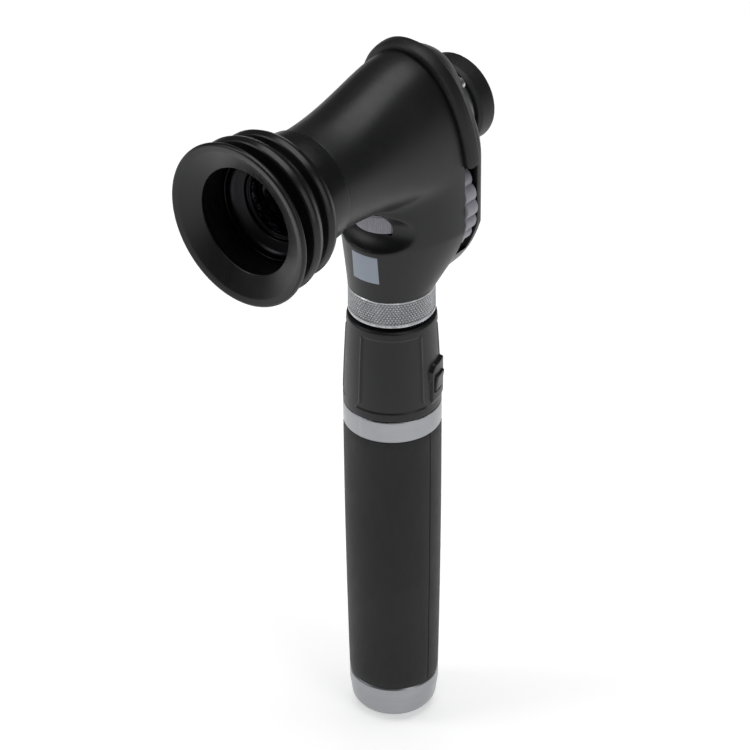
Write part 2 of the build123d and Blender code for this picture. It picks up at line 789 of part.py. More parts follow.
def make_focus_drive():
    wheel = rod_y(wheel_radius, wheel_front, wheel_rear, 0, wheel_z)
    for lobe in range(lobes):
        angle = 2 * pi * (lobe + 0.5) / lobes
        reach = wheel_radius + lobe_cut_radius - lobe_depth
        x, z = reach * cos(angle), wheel_z + reach * sin(angle)
        wheel -= rod_y(lobe_cut_radius, wheel_front, wheel_rear, x, z)
    well = rod_y(wheel_radius - wheel_rim, wheel_rear - wheel_hollow, wheel_rear, 0, wheel_z)
    wheel -= well - rod_y(wheel_hub, wheel_front, wheel_rear, 0, wheel_z)
    wheel -= rod_y(axle_radius + running, wheel_front, wheel_rear, 0, wheel_z)
    save(wheel, "focus_wheel")
    line_angle = degrees(atan((screw_z - wheel_z) / screw_x))
    save(gear_solid(gear_teeth, line_angle, 0, wheel_z, axle_radius + running), "focus_gear")
    pinion_turn = line_angle + 180 + 180 / pinion_teeth
    save(gear_solid(pinion_teeth, pinion_turn, screw_x, screw_z, screw_radius), "focus_pinion")
    save(rod_y(screw_radius, bulkhead_front, gear_front + gear_thickness, screw_x, screw_z), "focus_screw")
    axle = rod_y(axle_radius, plate_front, wheel_rear + axle_proud, 0, wheel_z)
    save(axle, "focus_axle")


def make_carriage():
    rear = carriage_front + carriage_thickness
    cell_radius = focus_lens_radius + cell_wall
    nut_radius = screw_radius + nut_wall
    eyes = [(Pos(side * screw_x, screw_z) * Circle(nut_radius)) for side in (-1, 1)]
    outline = make_hull((Sketch() + [Pos(0, axis_z) * Circle(cell_radius)] + eyes).edges())
    body = extrude(cross_plane(carriage_front) * outline, amount=-carriage_thickness)
    body -= rod_y(focus_lens_radius, carriage_front, rear)
    for side in (-1, 1):
        body -= rod_y(screw_radius + running, carriage_front, rear, side * screw_x, screw_z)
    save(body, "focus_carriage")
    lens = rod_y(focus_lens_radius, carriage_front + focus_lens_inset, rear - focus_lens_inset)
    save(fillet(lens.edges().filter_by(GeomType.CIRCLE), focus_lens_round), "focus_lens")


# ---- Objective and eyepiece ----
def make_objective():
    ring_rear = objective_front - objective_set_back
    seat = objective_front + objective_thickness
    tube_rear = seat + objective_shoulder
    tube = rod_y(spigot_bore, ring_rear, tube_rear) - rod_y(objective_radius, ring_rear, seat)
    save(tube - rod_y(objective_bore, seat, tube_rear), "objective_tube")
    lens = rod_y(objective_radius, objective_front, seat)
    save(fillet(lens.edges().group_by(Axis.Y)[0], objective_round), "objective_lens")
    ring = rod_y(spigot_bore, spigot_front, ring_rear) - rod_y(retainer_bore, spigot_front, ring_rear)
    mouth = ring.edges().group_by(Axis.Y)[0].sort_by(SortBy.RADIUS)[0]
    save(chamfer(mouth, retainer_chamfer), "objective_retainer")


def make_eyepiece():
    flange_front = back_y - wall
    flange_rear = back_y + eyepiece_flange
    neck_rear = flange_rear + eyepiece_neck_length
    tube = rod_y(eyepiece_radius, back_y, flange_rear) + rod_y(eyepiece_neck, flange_front, neck_rear)
    tube -= rod_y(eyepiece_lens_radius, back_y, neck_rear)
    tube -= rod_y(eyepiece_lens_radius - eyepiece_seat, flange_front, neck_rear)
    save(tube, "eyepiece_tube")
    lens = rod_y(eyepiece_lens_radius, back_y, flange_rear)
    save(fillet(lens.edges().group_by(Axis.Y)[-1], eyepiece_lens_round), "eyepiece_lens")
    bore = eyepiece_lens_radius + 0.5
    cup = rod_y(eyepiece_cup_radius, flange_rear, eyepiece_rear)
    cup -= rod_y(eyepiece_neck, flange_rear, neck_rear) + rod_y(bore, flange_rear, eyepiece_rear)
    cup -= turned_y(Polyline(
        (0, neck_rear), (bore, neck_rear), (eyepiece_cup_radius - eyepiece_cup_rim, eyepiece_rear),
        (0, eyepiece_rear), close=True,
    ))
    rims = cup.edges().group_by(Axis.Y)[-1]
    save(fillet(rims, eyepiece_cup_round), "eyepiece_cup")


# ---- Eyecup ----
def make_eyecup():
    collar_low = barrel_front
    collar = rod_y(collar_sleeve_radius, bellows_rear + slip, collar_low) - rod_y(spigot_radius, -60, 0)
    save(collar, "eyecup_collar")
    wall_radius = cup_bore + 1.2
    first_gap = lip_rear + loose
    second_gap = (lip_rear + bellows_rear) / 2 + 0.4
    bellows = turned_y(
        Polyline(
            (cup_bore, first_gap), (valley_radius, first_gap), (second_rib_radius - 0.9, first_gap + 0.6),
        ),
        ThreePointArc(
            (second_rib_radius - 0.9, first_gap + 0.6), (second_rib_radius, first_gap + 2.2),
            (second_rib_radius - 0.6, first_gap + 3.8),
        ),
        Polyline(
            (second_rib_radius - 0.6, first_gap + 3.8), (valley_radius, second_gap - 0.2),
            (valley_radius, second_gap + 0.2), (third_rib_radius - 0.9, second_gap + 0.8),
        ),
        ThreePointArc(
            (third_rib_radius - 0.9, second_gap + 0.8), (third_rib_radius, second_gap + 2.4),
            (third_rib_radius - 0.7, second_gap + 4.0),
        ),
        Polyline(
            (third_rib_radius - 0.7, second_gap + 4.0), (wall_radius, bellows_rear - 0.4),
            (wall_radius, bellows_rear), (cup_bore - 1.0, bellows_rear), (cup_bore - 1.0, spigot_front - 0.6),
            (cup_bore, spigot_front - 1.2), (cup_bore, first_gap),
        ),
    )
    save(bellows, "eyecup_bellows")
    lip = turned_y(
        Polyline((mouth_radius, lip_front + 3.6), (lip_radius - 0.8, lip_front)),
        ThreePointArc(
            (lip_radius - 0.8, lip_front), (lip_radius, lip_front + 0.6), (lip_radius - 0.5, lip_front + 1.5),
        ),
        Polyline(
            (lip_radius - 0.5, lip_front + 1.5), (valley_radius, lip_rear - 1.0), (valley_radius, lip_rear),
            (cup_bore, lip_rear), (cup_bore, lip_front + 5.0), (mouth_radius, lip_front + 3.6),
        ),
    )
    save(lip, "eyecup_lip")


# ---- Badge ----
def make_badge():
    middle = head_z + badge_low + badge_height / 2
    face = Plane(origin=(badge_x, -30, middle), x_dir=(1, 0, 0), z_dir=(0, 1, 0))
    square = extrude(face * Rectangle(badge_width, badge_height), amount=25)
    save(square & (lower_form(-badge_thickness) - lower_form(-0.01)), "badge")


make_grip()
make_handle_core()
make_post()
make_battery()
make_base_cap()
make_sleeve()
make_button()
make_collar()
make_front_shell()
make_rear_cover()
make_band()
make_cover_screws()
make_frame()
make_lamp()
make_mirror()
make_dial()
make_focus_drive()
make_carriage()
make_objective()
make_eyepiece()
make_eyecup()
make_badge()
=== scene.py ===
"""Visual model of a hand-held wide-field ophthalmoscope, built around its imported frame.

Lengths are written in millimetres and turned into metres by MM. The handle stands along +Z
and the patient's eyecup faces -Y.
"""
import json
from math import asin, atan2, cos, exp, hypot, pi, radians, sin, sqrt, tan

import bmesh
import bpy
from mathutils import Matrix, Vector
from mathutils.bvhtree import BVHTree


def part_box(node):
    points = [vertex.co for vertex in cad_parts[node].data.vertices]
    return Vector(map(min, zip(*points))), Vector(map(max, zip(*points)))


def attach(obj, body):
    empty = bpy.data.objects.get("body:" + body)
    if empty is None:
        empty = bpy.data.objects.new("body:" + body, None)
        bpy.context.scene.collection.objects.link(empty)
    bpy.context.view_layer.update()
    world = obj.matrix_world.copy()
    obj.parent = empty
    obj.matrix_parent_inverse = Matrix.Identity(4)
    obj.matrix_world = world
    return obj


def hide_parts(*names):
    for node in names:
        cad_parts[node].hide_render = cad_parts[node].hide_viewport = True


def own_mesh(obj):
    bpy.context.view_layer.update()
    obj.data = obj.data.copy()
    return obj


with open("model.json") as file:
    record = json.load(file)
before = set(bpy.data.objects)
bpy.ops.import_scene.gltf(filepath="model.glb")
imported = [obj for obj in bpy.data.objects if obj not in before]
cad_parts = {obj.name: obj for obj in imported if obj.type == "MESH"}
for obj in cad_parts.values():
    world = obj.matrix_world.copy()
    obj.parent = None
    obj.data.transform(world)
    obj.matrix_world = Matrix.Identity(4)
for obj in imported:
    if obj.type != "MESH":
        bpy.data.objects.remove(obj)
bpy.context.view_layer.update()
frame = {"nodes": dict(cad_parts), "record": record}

MM = 0.001
NODES = frame["nodes"]
SLOTS = {part["node"]: part["material_slot"] for part in frame["record"]["subparts"]}
SCENE = bpy.context.scene


# ---- Places read from the frame, in millimetres ----
def low(node):
    """Lowest corner of a CAD node."""
    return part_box(node)[0] / MM


def high(node):
    """Highest corner of a CAD node."""
    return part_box(node)[1] / MM


def depths(node):
    """Front and rear of a CAD node."""
    return low(node).y, high(node).y


def levels(node):
    """Bottom and top of a CAD node."""
    return low(node).z, high(node).z


AXIS_Z = sum(levels("eyecup_lip")) / 2
CAP_TOP = low("grip_shell_front").z
RING_Z = low("trim_ring").z
SLEEVE_Z, SLEEVE_TOP = levels("rheostat_sleeve")
COLLAR_Z, HEAD_Z = levels("socket_ring")
PARTING_Y = 10.5
BACK_Y = high("rear_cover").y
SIDE_LOW = HEAD_Z + 19.2
SIDE_HIGH = HEAD_Z + 39.2
CROWN_Z = high("rear_cover").z
CHIN_Z = HEAD_Z + 30.0
HALF_WIDTH = high("rear_cover").x
NECK_RADIUS = high("socket_ring").x
TUBE_RADIUS = high("handle_tube").x
CROWN_LEAN = radians(8.0)
BARREL_FRONT = high("eyecup_collar").y
SPIGOT_FRONT = low("front_shell").y
DIAL_Y = sum(depths("aperture_dial")) / 2
DIAL_RADIUS = high("aperture_dial").x
WHEEL_Z = sum(levels("focus_wheel")) / 2
WHEEL_RADIUS = high("focus_wheel").x
WALL = 1.8
SPIGOT_RADIUS = 15.4
CUP_BORE = 17.0
FAR = 60.0                   # past everything the object has


# ---- Mesh making ----
def add_object(name, data):
    piece = bpy.data.objects.new(name, data)
    SCENE.collection.objects.link(piece)
    return piece


def add_mesh(name, points, faces):
    """Closed mesh from points in millimetres, with its normals pointing outwards."""
    mesh = bpy.data.meshes.new(name)
    mesh.from_pydata([(x * MM, y * MM, z * MM) for x, y, z in points], [], faces)
    tidy = bmesh.new()
    tidy.from_mesh(mesh)
    bmesh.ops.recalc_face_normals(tidy, faces=tidy.faces)
    tidy.to_mesh(mesh)
    tidy.free()
    return add_object(name, mesh)


def lofted(name, loops, joined=False):
    """Skin over closed loops of points. Joined runs the last loop back into the first."""
    count = len(loops[0])
    points = [point for loop in loops for point in loop]
    faces = []
    for row in range(len(loops) - (0 if joined else 1)):
        here, there = row * count, (row + 1) % len(loops) * count
        for step in range(count):
            after = (step + 1) % count
            faces.append((here + step, here + after, there + after, there + step))
    if not joined:
        faces.append(tuple(range(count)))
        faces.append(tuple(range((len(loops) - 1) * count, len(loops) * count)))
    return add_mesh(name, points, faces)


def rounded(corners, steps=6):
    """Closed outline of points from corners (a, b, radius), each corner turned into an arc."""
    outline = []
    for index, (a, b, radius) in enumerate(corners):
        here = Vector((a, b))
        before = Vector(corners[index - 1][:2]) - here
        after = Vector(corners[(index + 1) % len(corners)][:2]) - here
        if not radius:
            outline.append((a, b))
            continue
        half = before.angle(after) / 2
        reach = min(radius / tan(half), 0.48 * before.length, 0.48 * after.length)
        real = reach * tan(half)
        centre = here + (before.normalized() + after.normalized()).normalized() * (real / sin(half))
        start = here + before.normalized() * reach - centre
        end = here + after.normalized() * reach - centre
        sweep = atan2(start.x * end.y - start.y * end.x, start.dot(end))
        for step in range(steps + 1):
            turn = sweep * step / steps
            outline.append((
                centre.x + start.x * cos(turn) - start.y * sin(turn),
                centre.y + start.x * sin(turn) + start.y * cos(turn),
            ))
    return outline


def circle(radius, steps):
    """Points (across, up) round a circle."""
    return [(radius * cos(2 * pi * s / steps), radius * sin(2 * pi * s / steps)) for s in range(steps)]


def turned(name, profile, steps, to_point):
    """Body of revolution from a closed profile of (radius, distance along the axis).

    The profile is the same all round, or a function of the angle.
    """
    loops = []
    for step in range(steps):
        angle = 2 * pi * step / steps
        section = profile(angle) if callable(profile) else profile
        loops.append([to_point(r * cos(angle), r * sin(angle), along) for r, along in section])
    return lofted(name, loops, joined=True)


def turned_z(name, profile, steps=192, y=0.0):
    return turned(name, profile, steps, lambda across, back, z: (across, y + back, z))


def turned_y(name, profile, steps=192, z=AXIS_Z):
    return turned(name, profile, steps, lambda across, up, y: (across, y, z + up))


def rod_y(radius, front, rear, x=0.0, z=AXIS_Z, steps=96):
    return lofted("rod", [[(x + a, y, z + b) for a, b in circle(radius, steps)] for y in (front, rear)])


def rod_z(radius, bottom, top, x=0.0, y=0.0, steps=96):
    return lofted("rod", [[(x + a, y + b, z) for a, b in circle(radius, steps)] for z in (bottom, top)])


def block(x_low, x_high, y_low, y_high, z_low, z_high):
    ring = [(x_low, y_low), (x_high, y_low), (x_high, y_high), (x_low, y_high)]
    return lofted("block", [[(a, b, z) for a, b in ring] for z in (z_low, z_high)])


def bake(piece):
    """Applies the piece's modifiers to its mesh."""
    bpy.context.view_layer.update()
    graph = bpy.context.evaluated_depsgraph_get()
    mesh = bpy.data.meshes.new_from_object(piece.evaluated_get(graph))
    piece.modifiers.clear()
    old = piece.data
    piece.data = mesh
    bpy.data.meshes.remove(old)
    return piece


def drop(piece):
    mesh = piece.data
    bpy.data.objects.remove(piece)
    bpy.data.meshes.remove(mesh)


def cut(piece, *tools, how="DIFFERENCE"):
    """Cuts, joins or keeps the overlap with each tool, and throws the tools away."""
    for tool in tools:
        modifier = piece.modifiers.new("cut", "BOOLEAN")
        modifier.operation = how
        modifier.solver = "MANIFOLD"
        modifier.object = tool
        bake(piece)
        drop(tool)
    return piece


def soften_edges(piece, width):
    """Rounds the sharp edges."""
    modifier = piece.modifiers.new("soften", "BEVEL")
    modifier.width = width * MM
    modifier.segments = 2
    modifier.limit_method = "ANGLE"
    modifier.angle_limit = radians(35)
    return bake(piece)


def remesh(piece, voxel):
    modifier = piece.modifiers.new("remesh", "REMESH")
    modifier.mode = "VOXEL"
    modifier.voxel_size = voxel * MM
    return bake(piece)


def relax(piece, turns, weights=None):
    """Smooths the mesh, in full or by a weight for each point."""
    modifier = piece.modifiers.new("relax", "SMOOTH")
    modifier.factor = 0.5
    modifier.iterations = turns
    if weights is not None:
        group = piece.vertex_groups.new(name="relax")
        for index, weight in enumerate(weights):
            if weight > 0:
                group.add([index], weight, "REPLACE")
        modifier.vertex_group = "relax"
    bake(piece)
    piece.vertex_groups.clear()
    return piece


def surface_tree(piece):
    """Search tree over the piece's faces."""
    mesh = bmesh.new()
    mesh.from_mesh(piece.data)
    tree = BVHTree.FromBMesh(mesh)
    mesh.free()
    return tree


def fit(piece, body, *nodes, sharp=35):
    """Shades the piece, lets it ride on its body and stand for its CAD nodes."""
    piece.data.shade_smooth()
    piece.data.set_sharp_from_angle(angle=radians(sharp))
    slot = SLOTS[nodes[0]]
    piece.data.materials.clear()
    piece.data.materials.append(FINISHES[slot])
    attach(piece, body)
    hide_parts(*nodes)
    return piece


def smooth_step(value, start, end):
    share = min(max((value - start) / (end - start), 0.0), 1.0)
    return share * share * (3 - 2 * share)


# ---- Shared surface effects ----
def feed(tree, socket, value):
    """Links a socket to another node's output, or gives it a plain value."""
    if isinstance(value, bpy.types.NodeSocket):
        tree.links.new(value, socket)
    else:
        socket.default_value = value


def add_node(tree, kind, inputs=None, **settings):
    node = tree.nodes.new(kind)
    for key, value in settings.items():
        setattr(node, key, value)
    for key, value in (inputs or {}).items():
        feed(tree, node.inputs[key], value)
    return node


def calculate(tree, operation, first, second=0.0, third=0.0, clamp=False):
    return add_node(
        tree, "ShaderNodeMath", {0: first, 1: second, 2: third}, operation=operation, use_clamp=clamp,
    ).outputs[0]


def start_group(name, takes, gives):
    """New shader node group, and the sockets of its two end nodes."""
    group = bpy.data.node_groups.new(name, "ShaderNodeTree")
    for label, kind, value in takes:
        group.interface.new_socket(label, in_out="INPUT", socket_type=kind).default_value = value
    for label, kind in gives:
        group.interface.new_socket(label, in_out="OUTPUT", socket_type=kind)
    entry = group.nodes.new("NodeGroupInput")
    leave = group.nodes.new("NodeGroupOutput")
    return group, entry.outputs, leave.inputs


def noise(tree, place, scale, detail=2.0, roughness=0.5, distortion=0.0):
    inputs = {
        "Vector": place, "Scale": scale, "Detail": detail, "Roughness": roughness, "Distortion": distortion,
    }
    return add_node(tree, "ShaderNodeTexNoise", inputs).outputs["Fac"]


def remap(tree, value, start, end, low_end=0.0, high_end=1.0):
    inputs = {"Value": value, "From Min": start, "From Max": end, "To Min": low_end, "To Max": high_end}
    return add_node(tree, "ShaderNodeMapRange", inputs, clamp=True).outputs["Result"]


def object_place(tree):
    return tree.nodes.new("ShaderNodeTexCoord").outputs["Object"]


def make_grain_group():
    """Fine moulded grain: a height, and a slow change of tone over the surface."""
    takes = [("Grains per metre", "NodeSocketFloat", 2500.0), ("Tone scale", "NodeSocketFloat", 60.0)]
    gives = [("Height", "NodeSocketFloat"), ("Tone", "NodeSocketFloat")]
    group, entry, leave = start_group("moulded_grain", takes, gives)
    place = object_place(group)
    soft = noise(group, place, entry["Grains per metre"], 3.0, 0.6)
    cells = add_node(group, "ShaderNodeTexVoronoi", {
        "Vector": place, "Scale": entry["Grains per metre"], "Randomness": 1.0,
    }, feature="SMOOTH_F1").outputs["Distance"]
    group.links.new(calculate(group, "ADD", soft, calculate(group, "MULTIPLY", cells, 0.6)), leave["Height"])
    group.links.new(noise(group, place, entry["Tone scale"], 4.0, 0.55, 0.4), leave["Tone"])
    return group


def make_wear_group():
    """Mask of the raised edges that hands and tables rub bright."""
    takes = [("Amount", "NodeSocketFloat", 0.5), ("Breakup scale", "NodeSocketFloat", 900.0)]
    group, entry, leave = start_group("edge_wear", takes, [("Mask", "NodeSocketFloat")])
    raised = remap(group, group.nodes.new("ShaderNodeNewGeometry").outputs["Pointiness"], 0.52, 0.6)
    patches = remap(group, noise(group, object_place(group), entry["Breakup scale"], 4.0), 0.4, 0.62)
    mask = calculate(group, "MULTIPLY", raised, patches)
    group.links.new(calculate(group, "MULTIPLY", mask, entry["Amount"], clamp=True), leave["Mask"])
    return group


def make_handling_group():
    """Mask of faint smears and finger marks, as they gather on a handled instrument."""
    takes = [("Scale", "NodeSocketFloat", 45.0)]
    group, entry, leave = start_group("handling_marks", takes, [("Mask", "NodeSocketFloat")])
    place = object_place(group)
    stretched = add_node(group, "ShaderNodeMapping", {
        "Vector": place, "Rotation": (0.4, 0.2, 0.9), "Scale": (1.0, 1.7, 0.6),
    }).outputs["Vector"]
    broad = noise(group, stretched, entry["Scale"], 5.0, 0.62, 0.8)
    fine = noise(group, stretched, calculate(group, "MULTIPLY", entry["Scale"], 9.0), 3.0, 0.6, 0.3)
    both = calculate(group, "MULTIPLY_ADD", fine, 0.35, calculate(group, "MULTIPLY", broad, 0.75))
    group.links.new(remap(group, both, 0.38, 0.72), leave["Mask"])
    return group


def make_dust_group():
    """Mask of the dust that settles on faces that look up."""
    takes = [("Amount", "NodeSocketFloat", 0.2), ("Specks per metre", "NodeSocketFloat", 1400.0)]
    group, entry, leave = start_group("settled_dust", takes, [("Mask", "NodeSocketFloat")])
    normal = group.nodes.new("ShaderNodeNewGeometry").outputs["Normal"]
    upward = add_node(group, "ShaderNodeSeparateXYZ", {"Vector": normal}).outputs["Z"]
    flat = remap(group, upward, 0.35, 1.0)
    specks = remap(group, noise(group, object_place(group), entry["Specks per metre"], 2.0, 0.7), 0.56, 0.7)
    mask = calculate(group, "MULTIPLY", flat, specks)
    group.links.new(calculate(group, "MULTIPLY", mask, entry["Amount"], clamp=True), leave["Mask"])
    return group


def make_lathe_group():
    """Fine lines left by a turning tool, across the given axis."""
    takes = [
        ("Axis", "NodeSocketVector", (0.0, 0.0, 1.0)), ("Lines per metre", "NodeSocketFloat", 9000.0),
    ]
    gives = [("Height", "NodeSocketFloat"), ("Tone", "NodeSocketFloat")]
    group, entry, leave = start_group("lathe_lines", takes, gives)
    place = object_place(group)
    along = add_node(group, "ShaderNodeVectorMath", {0: place, 1: entry["Axis"]}, operation="DOT_PRODUCT")
    distance = along.outputs["Value"]
    lines = add_node(group, "ShaderNodeTexNoise", {
        "W": calculate(group, "MULTIPLY", distance, entry["Lines per metre"]), "Scale": 1.0, "Detail": 2.0,
    }, noise_dimensions="1D").outputs["Fac"]
    bands = add_node(group, "ShaderNodeTexNoise", {
        "W": calculate(group, "MULTIPLY", distance, 420.0), "Scale": 1.0, "Detail": 3.0,
    }, noise_dimensions="1D").outputs["Fac"]
    group.links.new(lines, leave["Height"])
    patches = noise(group, place, 140.0, 4.0, 0.55)
    group.links.new(calculate(group, "MULTIPLY_ADD", bands, 0.6, calculate(group, "MULTIPLY", patches, 0.4)),
                    leave["Tone"])
    return group


GRAIN = make_grain_group()
WEAR = make_wear_group()
HANDLING = make_handling_group()
DUST = make_dust_group()
LATHE = make_lathe_group()


def place_group(tree, group, **values):
    node = tree.nodes.new("ShaderNodeGroup")
    node.node_tree = group
    for label, value in values.items():
        node.inputs[label.replace("_", " ")].default_value = value
    return node.outputs


def mix_colour(tree, share, first, second):
    node = add_node(tree, "ShaderNodeMix", {"Factor": share}, data_type="RGBA")
    for key, value in ((6, first), (7, second)):
        feed(tree, node.inputs[key], (*value, 1) if isinstance(value, tuple) else value)
    return node.outputs[2]


def start_finish(name):
    material = bpy.data.materials.new(name)
    material.use_nodes = True
    return material, material.node_tree


def scaled(colour, share, lift=0.0):
    """Darker or lighter colour, up to white."""
    return tuple(min(c * share + lift, 1.0) for c in colour)


def complete(material, shade, gloss, height=None, depth=0.0, **others):
    """Gives the shader its colour, gloss, other values and a bump of a depth in millimetres."""
    tree = material.node_tree
    others |= {"Base Color": shade, "Roughness": gloss}
    if height:
        bump = add_node(tree, "ShaderNodeBump", {"Height": height, "Distance": depth * MM, "Strength": 1.0})
        others["Normal"] = bump.outputs["Normal"]
    for label, value in others.items():
        feed(tree, tree.nodes["Principled BSDF"].inputs[label.replace("_", " ")], value)
    return material


def moulding(name, colour, roughness, grain, depth, worn=None, spread=0.06, dust=0.05, wear=0.2,
             specular=0.5):
    """Moulded plastic or rubber: grain, uneven gloss, rubbed edges and a little dust."""
    material, tree = start_finish(name)
    surface = place_group(tree, GRAIN, Grains_per_metre=grain, Tone_scale=55.0)
    marks = place_group(tree, HANDLING, Scale=42.0)["Mask"]
    rubbed = place_group(tree, WEAR, Amount=wear, Breakup_scale=700.0)["Mask"]
    settled = place_group(tree, DUST, Amount=dust, Specks_per_metre=1500.0)["Mask"]
    shade = mix_colour(tree, surface["Tone"], scaled(colour, 0.82), scaled(colour, 1.2))
    shade = mix_colour(tree, rubbed, shade, worn or scaled(colour, 2.2, 0.01))
    shade = mix_colour(tree, settled, shade, (0.34, 0.33, 0.31))
    gloss = remap(tree, marks, 0.0, 1.0, roughness + spread, roughness - spread)
    gloss = calculate(tree, "ADD", gloss, calculate(tree, "MULTIPLY", settled, 0.3), clamp=True)
    return complete(material, shade, gloss, surface["Height"], depth, Specular_IOR_Level=specular)


def turned_metal(name, colour, roughness, axis=(0.0, 0.0, 1.0), depth=0.0018, lines=9000.0, spread=0.07):
    """Turned metal: tool lines, uneven sheen, finger marks and bright edges."""
    material, tree = start_finish(name)
    cuts = place_group(tree, LATHE, Axis=axis, Lines_per_metre=lines)
    marks = place_group(tree, HANDLING, Scale=60.0)["Mask"]
    rubbed = place_group(tree, WEAR, Amount=0.7, Breakup_scale=500.0)["Mask"]
    shade = mix_colour(tree, cuts["Tone"], scaled(colour, 0.86), scaled(colour, 1.1))
    shade = mix_colour(tree, rubbed, shade, (0.86, 0.86, 0.88))
    gloss = remap(tree, marks, 0.0, 1.0, roughness + spread, roughness - spread)
    gloss = calculate(tree, "SUBTRACT", gloss, calculate(tree, "MULTIPLY", rubbed, 0.12), clamp=True)
    return complete(material, shade, gloss, cuts["Height"], depth, Metallic=1.0)


def glass(name, colour):
    """Coated optical glass with faint smears that show only in its gloss."""
    material, tree = start_finish(name)
    marks = place_group(tree, HANDLING, Scale=150.0)["Mask"]
    shade = mix_colour(tree, marks, colour, scaled(colour, 0.98))
    gloss = remap(tree, marks, 0.3, 1.0, 0.015, 0.065)
    return complete(material, shade, gloss, Transmission_Weight=1.0, IOR=1.5, Coat_Weight=0.4,
                    Coat_Roughness=0.02, Coat_Tint=(0.72, 0.78, 1.0, 1.0))


def circuit_board(name):
    """Green solder mask with copper tracks under it and tinned pads."""
    material, tree = start_finish(name)
    place = object_place(tree)
    tracks = add_node(tree, "ShaderNodeTexVoronoi", {"Vector": place, "Scale": 900.0, "Randomness": 0.3},
                      feature="DISTANCE_TO_EDGE", distance="MANHATTAN").outputs["Distance"]
    track = remap(tree, tracks, 0.06, 0.1)
    pads = remap(tree, noise(tree, place, 1600.0, 0.0), 0.68, 0.72)
    shade = mix_colour(tree, track, (0.05, 0.22, 0.09), (0.02, 0.11, 0.045))
    shade = mix_colour(tree, pads, shade, (0.62, 0.6, 0.55))
    return complete(material, shade, remap(tree, pads, 0.0, 1.0, 0.38, 0.22), track, 0.02, Metallic=pads)


def shrink_sleeve(name):
    """Dark blue shrink wrap with its soft creases, their hollows painted darker as painted shade."""
    material, tree = start_finish(name)
    crease_height_and_shade = noise(tree, object_place(tree), 220.0, 5.0, 0.6, 1.2)
    # The colour follows the crease bump: the low folds get the darker blue, which is painted shade in the
    # creases.
    shade = mix_colour(tree, crease_height_and_shade, (0.02, 0.03, 0.07), (0.05, 0.07, 0.13))
    return complete(material, shade, remap(tree, crease_height_and_shade, 0.3, 0.7, 0.3, 0.5), crease_height_and_shade, 0.15)


def printed_label(name):
    """Printed square: a pale grey-blue ink with a slight screen texture."""
    material, tree = start_finish(name)
    surface = place_group(tree, GRAIN, Grains_per_metre=5200.0, Tone_scale=160.0)
    marks = place_group(tree, HANDLING, Scale=90.0)["Mask"]
    shade = mix_colour(tree, surface["Tone"], (0.26, 0.30, 0.36), (0.31, 0.345, 0.41))
    return complete(material, shade, remap(tree, marks, 0.0, 1.0, 0.5, 0.36), surface["Height"], 0.006)


ACROSS, DEEP = (1.0, 0.0, 0.0), (0.0, 1.0, 0.0)
FINISHES = {
    "grip_plastic": moulding("matte_grip", (0.0075, 0.0076, 0.0082), 0.55, 3200.0, 0.02, specular=0.3),
    "shell_plastic": moulding("satin_shell", (0.0062, 0.0064, 0.007), 0.38, 2600.0, 0.006, spread=0.05,
                              wear=0.12, dust=0.03, specular=0.36),
    "eyecup_rubber": moulding("eyecup_rubber", (0.0045, 0.0046, 0.005), 0.3, 1800.0, 0.005, wear=0.08,
                              dust=0.02, specular=0.36),
    "band_rubber": moulding("matte_band_rubber", (0.005, 0.005, 0.0056), 0.5, 2800.0, 0.015, specular=0.35),
    "steel": turned_metal("satin_steel", (0.33, 0.34, 0.355), 0.34),
    "tube_metal": turned_metal("drawn_tube", (0.5, 0.5, 0.52), 0.32, depth=0.003, lines=3000.0),
    "frame_metal": turned_metal("black_anodised", (0.05, 0.05, 0.055), 0.42, ACROSS, lines=5000.0),
    "black_metal": turned_metal("black_lacquered_tube", (0.022, 0.022, 0.024), 0.3, DEEP, 0.004, 2200.0),
    "wheel_plastic": moulding("grey_wheel", (0.27, 0.265, 0.3), 0.46, 2400.0, 0.008, (0.55, 0.55, 0.6),
                              dust=0.1, wear=0.25),
    "insulator": moulding("natural_insulator", (0.5, 0.46, 0.38), 0.45, 2000.0, 0.006, wear=0.1),
    "board": circuit_board("solder_mask"),
    "contact_brass": turned_metal("plated_contact", (0.62, 0.45, 0.2), 0.24, lines=6000.0),
    "spring_steel": turned_metal("spring_wire", (0.5, 0.5, 0.52), 0.22, (0.3, 0.2, 1.0), lines=4000.0),
    "battery_sleeve": shrink_sleeve("battery_wrap"),
    "lens_glass": glass("coated_glass", (0.93, 0.96, 0.97)),
    "filter_glass": glass("green_glass", (0.1, 0.62, 0.2)),
    "mirror_face": turned_metal("front_silvered", (0.88, 0.88, 0.9), 0.06, ACROSS, 0.0002, spread=0.03),
    "badge_print": printed_label("label_print"),
}


def dress_frame():
    """Gives every CAD node the finish of its material slot."""
    for node, piece in NODES.items():
        piece.data.materials.clear()
        piece.data.materials.append(FINISHES[SLOTS[node]])


# ---- Head outline, shared by the shell, the rear cover and the brow band ----
SQUARENESS = 2.2             # 2 is an ellipse, more is squarer


def arch_point(angle, growth=0.0, reach=CROWN_Z - SIDE_HIGH):
    """Point (x, z) of the crown's arch, from the right side over the top to the left.

    With a reach below zero it is the belly under the arch, which closes the barrel's outline.
    """
    across, up = cos(angle), abs(sin(angle))
    power = 2 / SQUARENESS
    x = (HALF_WIDTH + growth) * abs(across) ** power * (1 if across > 0 else -1)
    return x, SIDE_HIGH + (reach + growth) * up ** power


def leaned(x, y, z):
    """Point tipped forward with the crown, about the level where the crown starts."""
    back, up = y - PARTING_Y, z - SIDE_HIGH
    return (
        x,
        PARTING_Y + back * cos(CROWN_LEAN) - up * sin(CROWN_LEAN),
        SIDE_HIGH + back * sin(CROWN_LEAN) + up * cos(CROWN_LEAN),
    )


